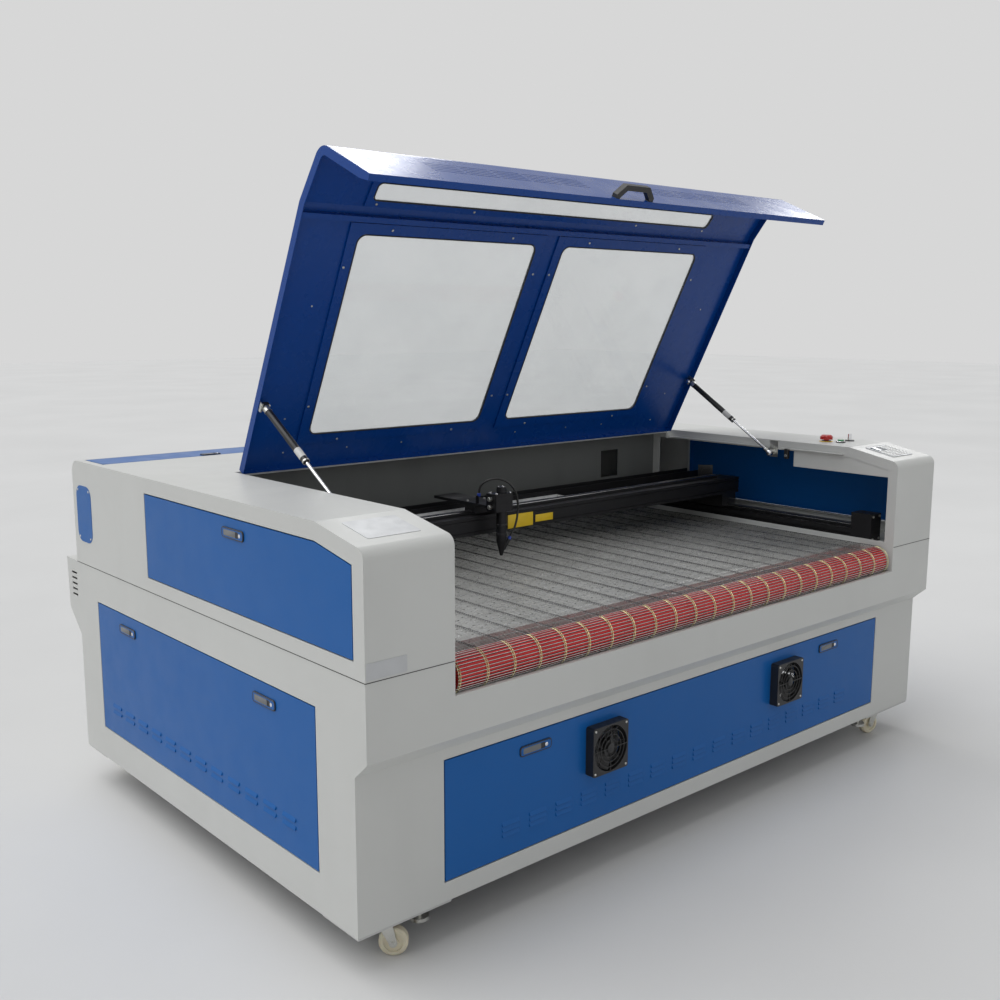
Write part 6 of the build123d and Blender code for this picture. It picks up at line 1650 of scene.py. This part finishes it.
@dataclass
class Controls(SubAssembly):
    """The trims of the console's buttons, the keypad's keys and display, and the lid's switch."""

    top: float = 932.0
    slope: tuple[float, float] = (166.0, 33.0)
    keypad_x: float = 965.0
    keypad_size: tuple[float, float] = (112.0, 100.0)
    keypad_face: float = 1.0
    keypad_shift: float = 12.0
    display_size: tuple[float, float] = (52.0, 34.0)
    display_place: tuple[float, float] = (-22.0, 24.0)
    key_size: tuple[float, float] = (11.0, 8.0)
    key_pitch: tuple[float, float] = (15.5, 12.5)
    key_blocks: tuple[tuple[float, float, int, int], ...] = ((-44.0, 0.0, 7, 4), (16.0, 36.0, 3, 3))
    estop: tuple[float, float] = (946.0, 305.0)
    start: tuple[float, float] = (955.0, 258.0)
    switch: Place = (855.0, 388.0, 892.0)
    switch_roller: Place = (845.0, 388.0, 886.0)

    def on_slope(self, shape: Shape) -> Shape:
        """Sets a piece, made about the middle of the keypad, on the right console's slope.

        Args:
            shape: the piece, with z = 0 on the keypad's face.

        Returns:
            The piece in its place.
        """
        run, drop = self.slope
        middle = self.keypad_shift - math.hypot(run, drop) / 2
        angle = math.degrees(math.atan2(drop, run))
        sloped = shape.moved(y=middle, z=self.keypad_face).turned(turn_x(angle))
        return sloped.moved(self.keypad_x, run, self.top)

    def build(self) -> None:
        """Makes the keypad, the trims of the buttons and the lid's switch."""
        self.keypad()
        collar = lathe([21.5, 22.0, 20.6, 15.8, 15.4], [0, 1.0, 1.6, 1.6, 1.0], 40)
        piece("estop_legend_ring", collar.moved(*self.estop, self.top), YELLOW_FILM, "cabinet")
        bezel = lathe([13.2, 13.6, 12.6, 11.2, 11.0], [0, 3.4, 4.2, 4.2, 3.1], 32)
        piece("start_button_bezel", bezel.moved(*self.start, self.top), CHROME, "cabinet")
        self.lid_switch()

    def keypad(self) -> None:
        """The keypad's rim and display, and its keys in a wide block and one beside the display."""
        width, length = self.keypad_size
        rim = pad(width + 2, length + 2, 6.5, [(0, -1.0), (0, 0.9), (0.5, 1.3), (2.2, 1.3), (2.5, 0.5)], 4)
        piece("keypad_frame", self.on_slope(rim), SILVER_FILM, "cabinet")
        screen = pad(*self.display_size, 2.0, [(0, 0.4), (0, 1.0), (0.4, 1.2)], 3)
        piece("keypad_display", self.on_slope(screen.moved(*self.display_place)), SCREEN, "cabinet")
        across, down = self.key_pitch
        spots = np.array([(x + across * column, y - down * row, 0.0)
                          for x, y, columns, rows in self.key_blocks
                          for column in range(columns) for row in range(rows)])
        key = pad(*self.key_size, 1.6, [(0, 0.4), (0, 1.2), (0.5, 1.7)], 3)
        piece("keypad_keys", self.on_slope(key.repeated(spots)), WHITE_PLASTIC, "cabinet")

    def lid_switch(self) -> None:
        """The small black switch on the right console's inner side that the lid works when shut."""
        inwards = along((-1, 0, 0))
        body = pad(14.0, 34.0, 3.0, [(0, -0.3), (0, 9.0), (1.2, 10.2)], 3).turned(inwards)
        piece("lid_switch_body", body.moved(*self.switch), BLACK_PLASTIC, "cabinet")
        roller = lathe([4.0, 4.6, 4.0], [0, 1.6, 3.2], 18).turned(inwards)
        piece("lid_switch_roller", roller.moved(*self.switch_roller), ZINC, "cabinet")

    def coats(self) -> dict[Finish, list[str]]:
        """A red stop, a green start button, a bright key, black collars and bare silver plates."""
        return {
            RED_PLASTIC: ["estop_button"],
            GREEN_PLASTIC: ["start_button"],
            CHROME: ["key_switch"],
            BLACK_PLASTIC: ["switch_collars"],
            SILVER_FILM: ["panel_plates"],
        }


@dataclass
class Fans(SubAssembly):
    """The corner screws of both fans and the hubs of their guards."""

    x: float = 367.0
    z: float = 321.0
    screw_face: float = 17.2
    hub_face: float = 17.6
    screw_spread: float = 52.5

    def build(self) -> None:
        """Makes the fans' screws and hub caps."""
        spread = self.screw_spread
        spots = np.array([(side * self.x + dx, self.screw_face, self.z + dz)
                          for side in (-1, 1) for dx in (-spread, spread) for dz in (-spread, spread)])
        piece("fan_screws", pan_head(3.2, 1.8).turned(Wall.FRONT.axes).repeated(spots), ZINC, "front_door")
        disc = lathe([11.0, 11.5, 10.5], [0, 0.8, 1.4], 28).turned(Wall.FRONT.axes)
        spots = np.array([(side * self.x, self.hub_face, self.z) for side in (-1, 1)])
        piece("fan_guard_hubs", disc.repeated(spots), BLACK_PLASTIC, "front_door")

    def coats(self) -> dict[Finish, list[str]]:
        """Black fans."""
        return {BLACK_PLASTIC: ["fan_cases", "left_fan_rotor", "right_fan_rotor"]}


@dataclass
class Casters(SubAssembly):
    """The casters' axle nuts and the bolts of their plates.

    A caster is the place of its kingpin and the angle in degrees that it stands turned by.
    """

    stands: dict[str, tuple[float, float, float]] = field(default_factory=lambda: {
        "front_left": (-973.0, 100.0, 41.0), "front_right": (973.0, 100.0, 197.0),
        "rear_left": (-973.0, 1372.0, -60.0), "rear_right": (973.0, 1372.0, 160.0)})
    trail: float = 22.0
    axle_z: float = 31.5
    nut_face: float = 16.8
    plate_z: float = 91.0
    bolt_spread: tuple[float, float] = (36.0, 26.0)

    def build(self) -> None:
        """Makes the axle nuts and the plate bolts."""
        nut = hex_head(6.5, 4.2)
        pair = joined(nut.turned(along((0, side, 0))).moved(y=side * self.nut_face) for side in (1, -1))
        for name, (x, y, turn) in self.stands.items():
            placed = pair.moved(self.trail, 0.0, self.axle_z).turned(turn_z(-turn)).moved(x, y)
            piece(f"axle_nuts_{name}", placed, ZINC, f"caster_fork_{name}")
        across, back = self.bolt_spread
        spots = np.array([(x + dx, y + dy, self.plate_z) for x, y, _ in self.stands.values()
                          for dx in (-across, across) for dy in (-back, back)])
        bolt = hex_head(6.5, 4.5).turned(Wall.UNDER.axes)
        piece("caster_plate_bolts", bolt.repeated(spots), ZINC, "cabinet")

    def coats(self) -> dict[Finish, list[str]]:
        """Cream wheels in zinc forks."""
        return {
            NYLON: [f"caster_wheel_{name}" for name in self.stands],
            ZINC: [f"caster_fork_{name}" for name in self.stands],
        }


@dataclass
class LaserTube(SubAssembly):
    """What shows inside the glass tube: the inner tube, the gas return spiral and the electrodes."""

    y: float = 1326.5
    z: float = 790.0
    half: float = 765.0
    end_gap: float = 6.0
    bore: float = 11.0
    electrode_inset: float = 20.0
    coil_start: float = -560.0
    coil_length: float = 260.0
    coil_turns: int = 8
    coil_radius: float = 19.0
    coil_wire: float = 3.2
    coil_points: int = 420

    def build(self) -> None:
        """Makes the inner tube, the spiral and the metal ends."""
        reach = self.half - self.end_gap
        line = rods([(-reach, self.y, self.z)], [(reach, self.y, self.z)], self.bore, 18)
        piece("inner_discharge_tube", line, WHITE_PLASTIC, "cabinet")
        share = np.linspace(0.0, 1.0, self.coil_points)
        angle = 2 * math.pi * self.coil_turns * share
        spiral = np.stack([self.coil_start + self.coil_length * share,
                           self.y + self.coil_radius * np.cos(angle),
                           self.z + self.coil_radius * np.sin(angle)], axis=-1)
        piece("gas_return_spiral", tube(spiral, self.coil_wire, 8), CHROME, "cabinet")
        electrode = lathe([24, 24, 20, 20], [0, 52, 54, 60], 28)
        seat = self.half - self.electrode_inset
        ends = joined(electrode.turned(along((-side, 0, 0))).moved(side * seat, self.y, self.z)
                      for side in (-1, 1))
        piece("tube_electrodes", ends, ZINC, "cabinet")

    def coats(self) -> dict[Finish, list[str]]:
        """A clear outer tube."""
        return {TUBE_GLASS: ["laser_tube"]}


def main() -> None:
    """Loads the frame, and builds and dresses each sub-assembly in order."""
    logging.basicConfig(level=logging.INFO, format="%(name)s: %(message)s")
    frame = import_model()
    Layout.settle()
    Studio().build()
    for assembly in (AirHose(), Housing(), Latches(), Conveyor(), Lid(), Gantry(), Head(), Controls(),
                     Fans(), Casters(), LaserTube()):
        assembly.build()
        assembly.dress(frame["nodes"])
        LOG.info("%s is done", type(assembly).__name__)


if __name__ == "__main__":
    main()
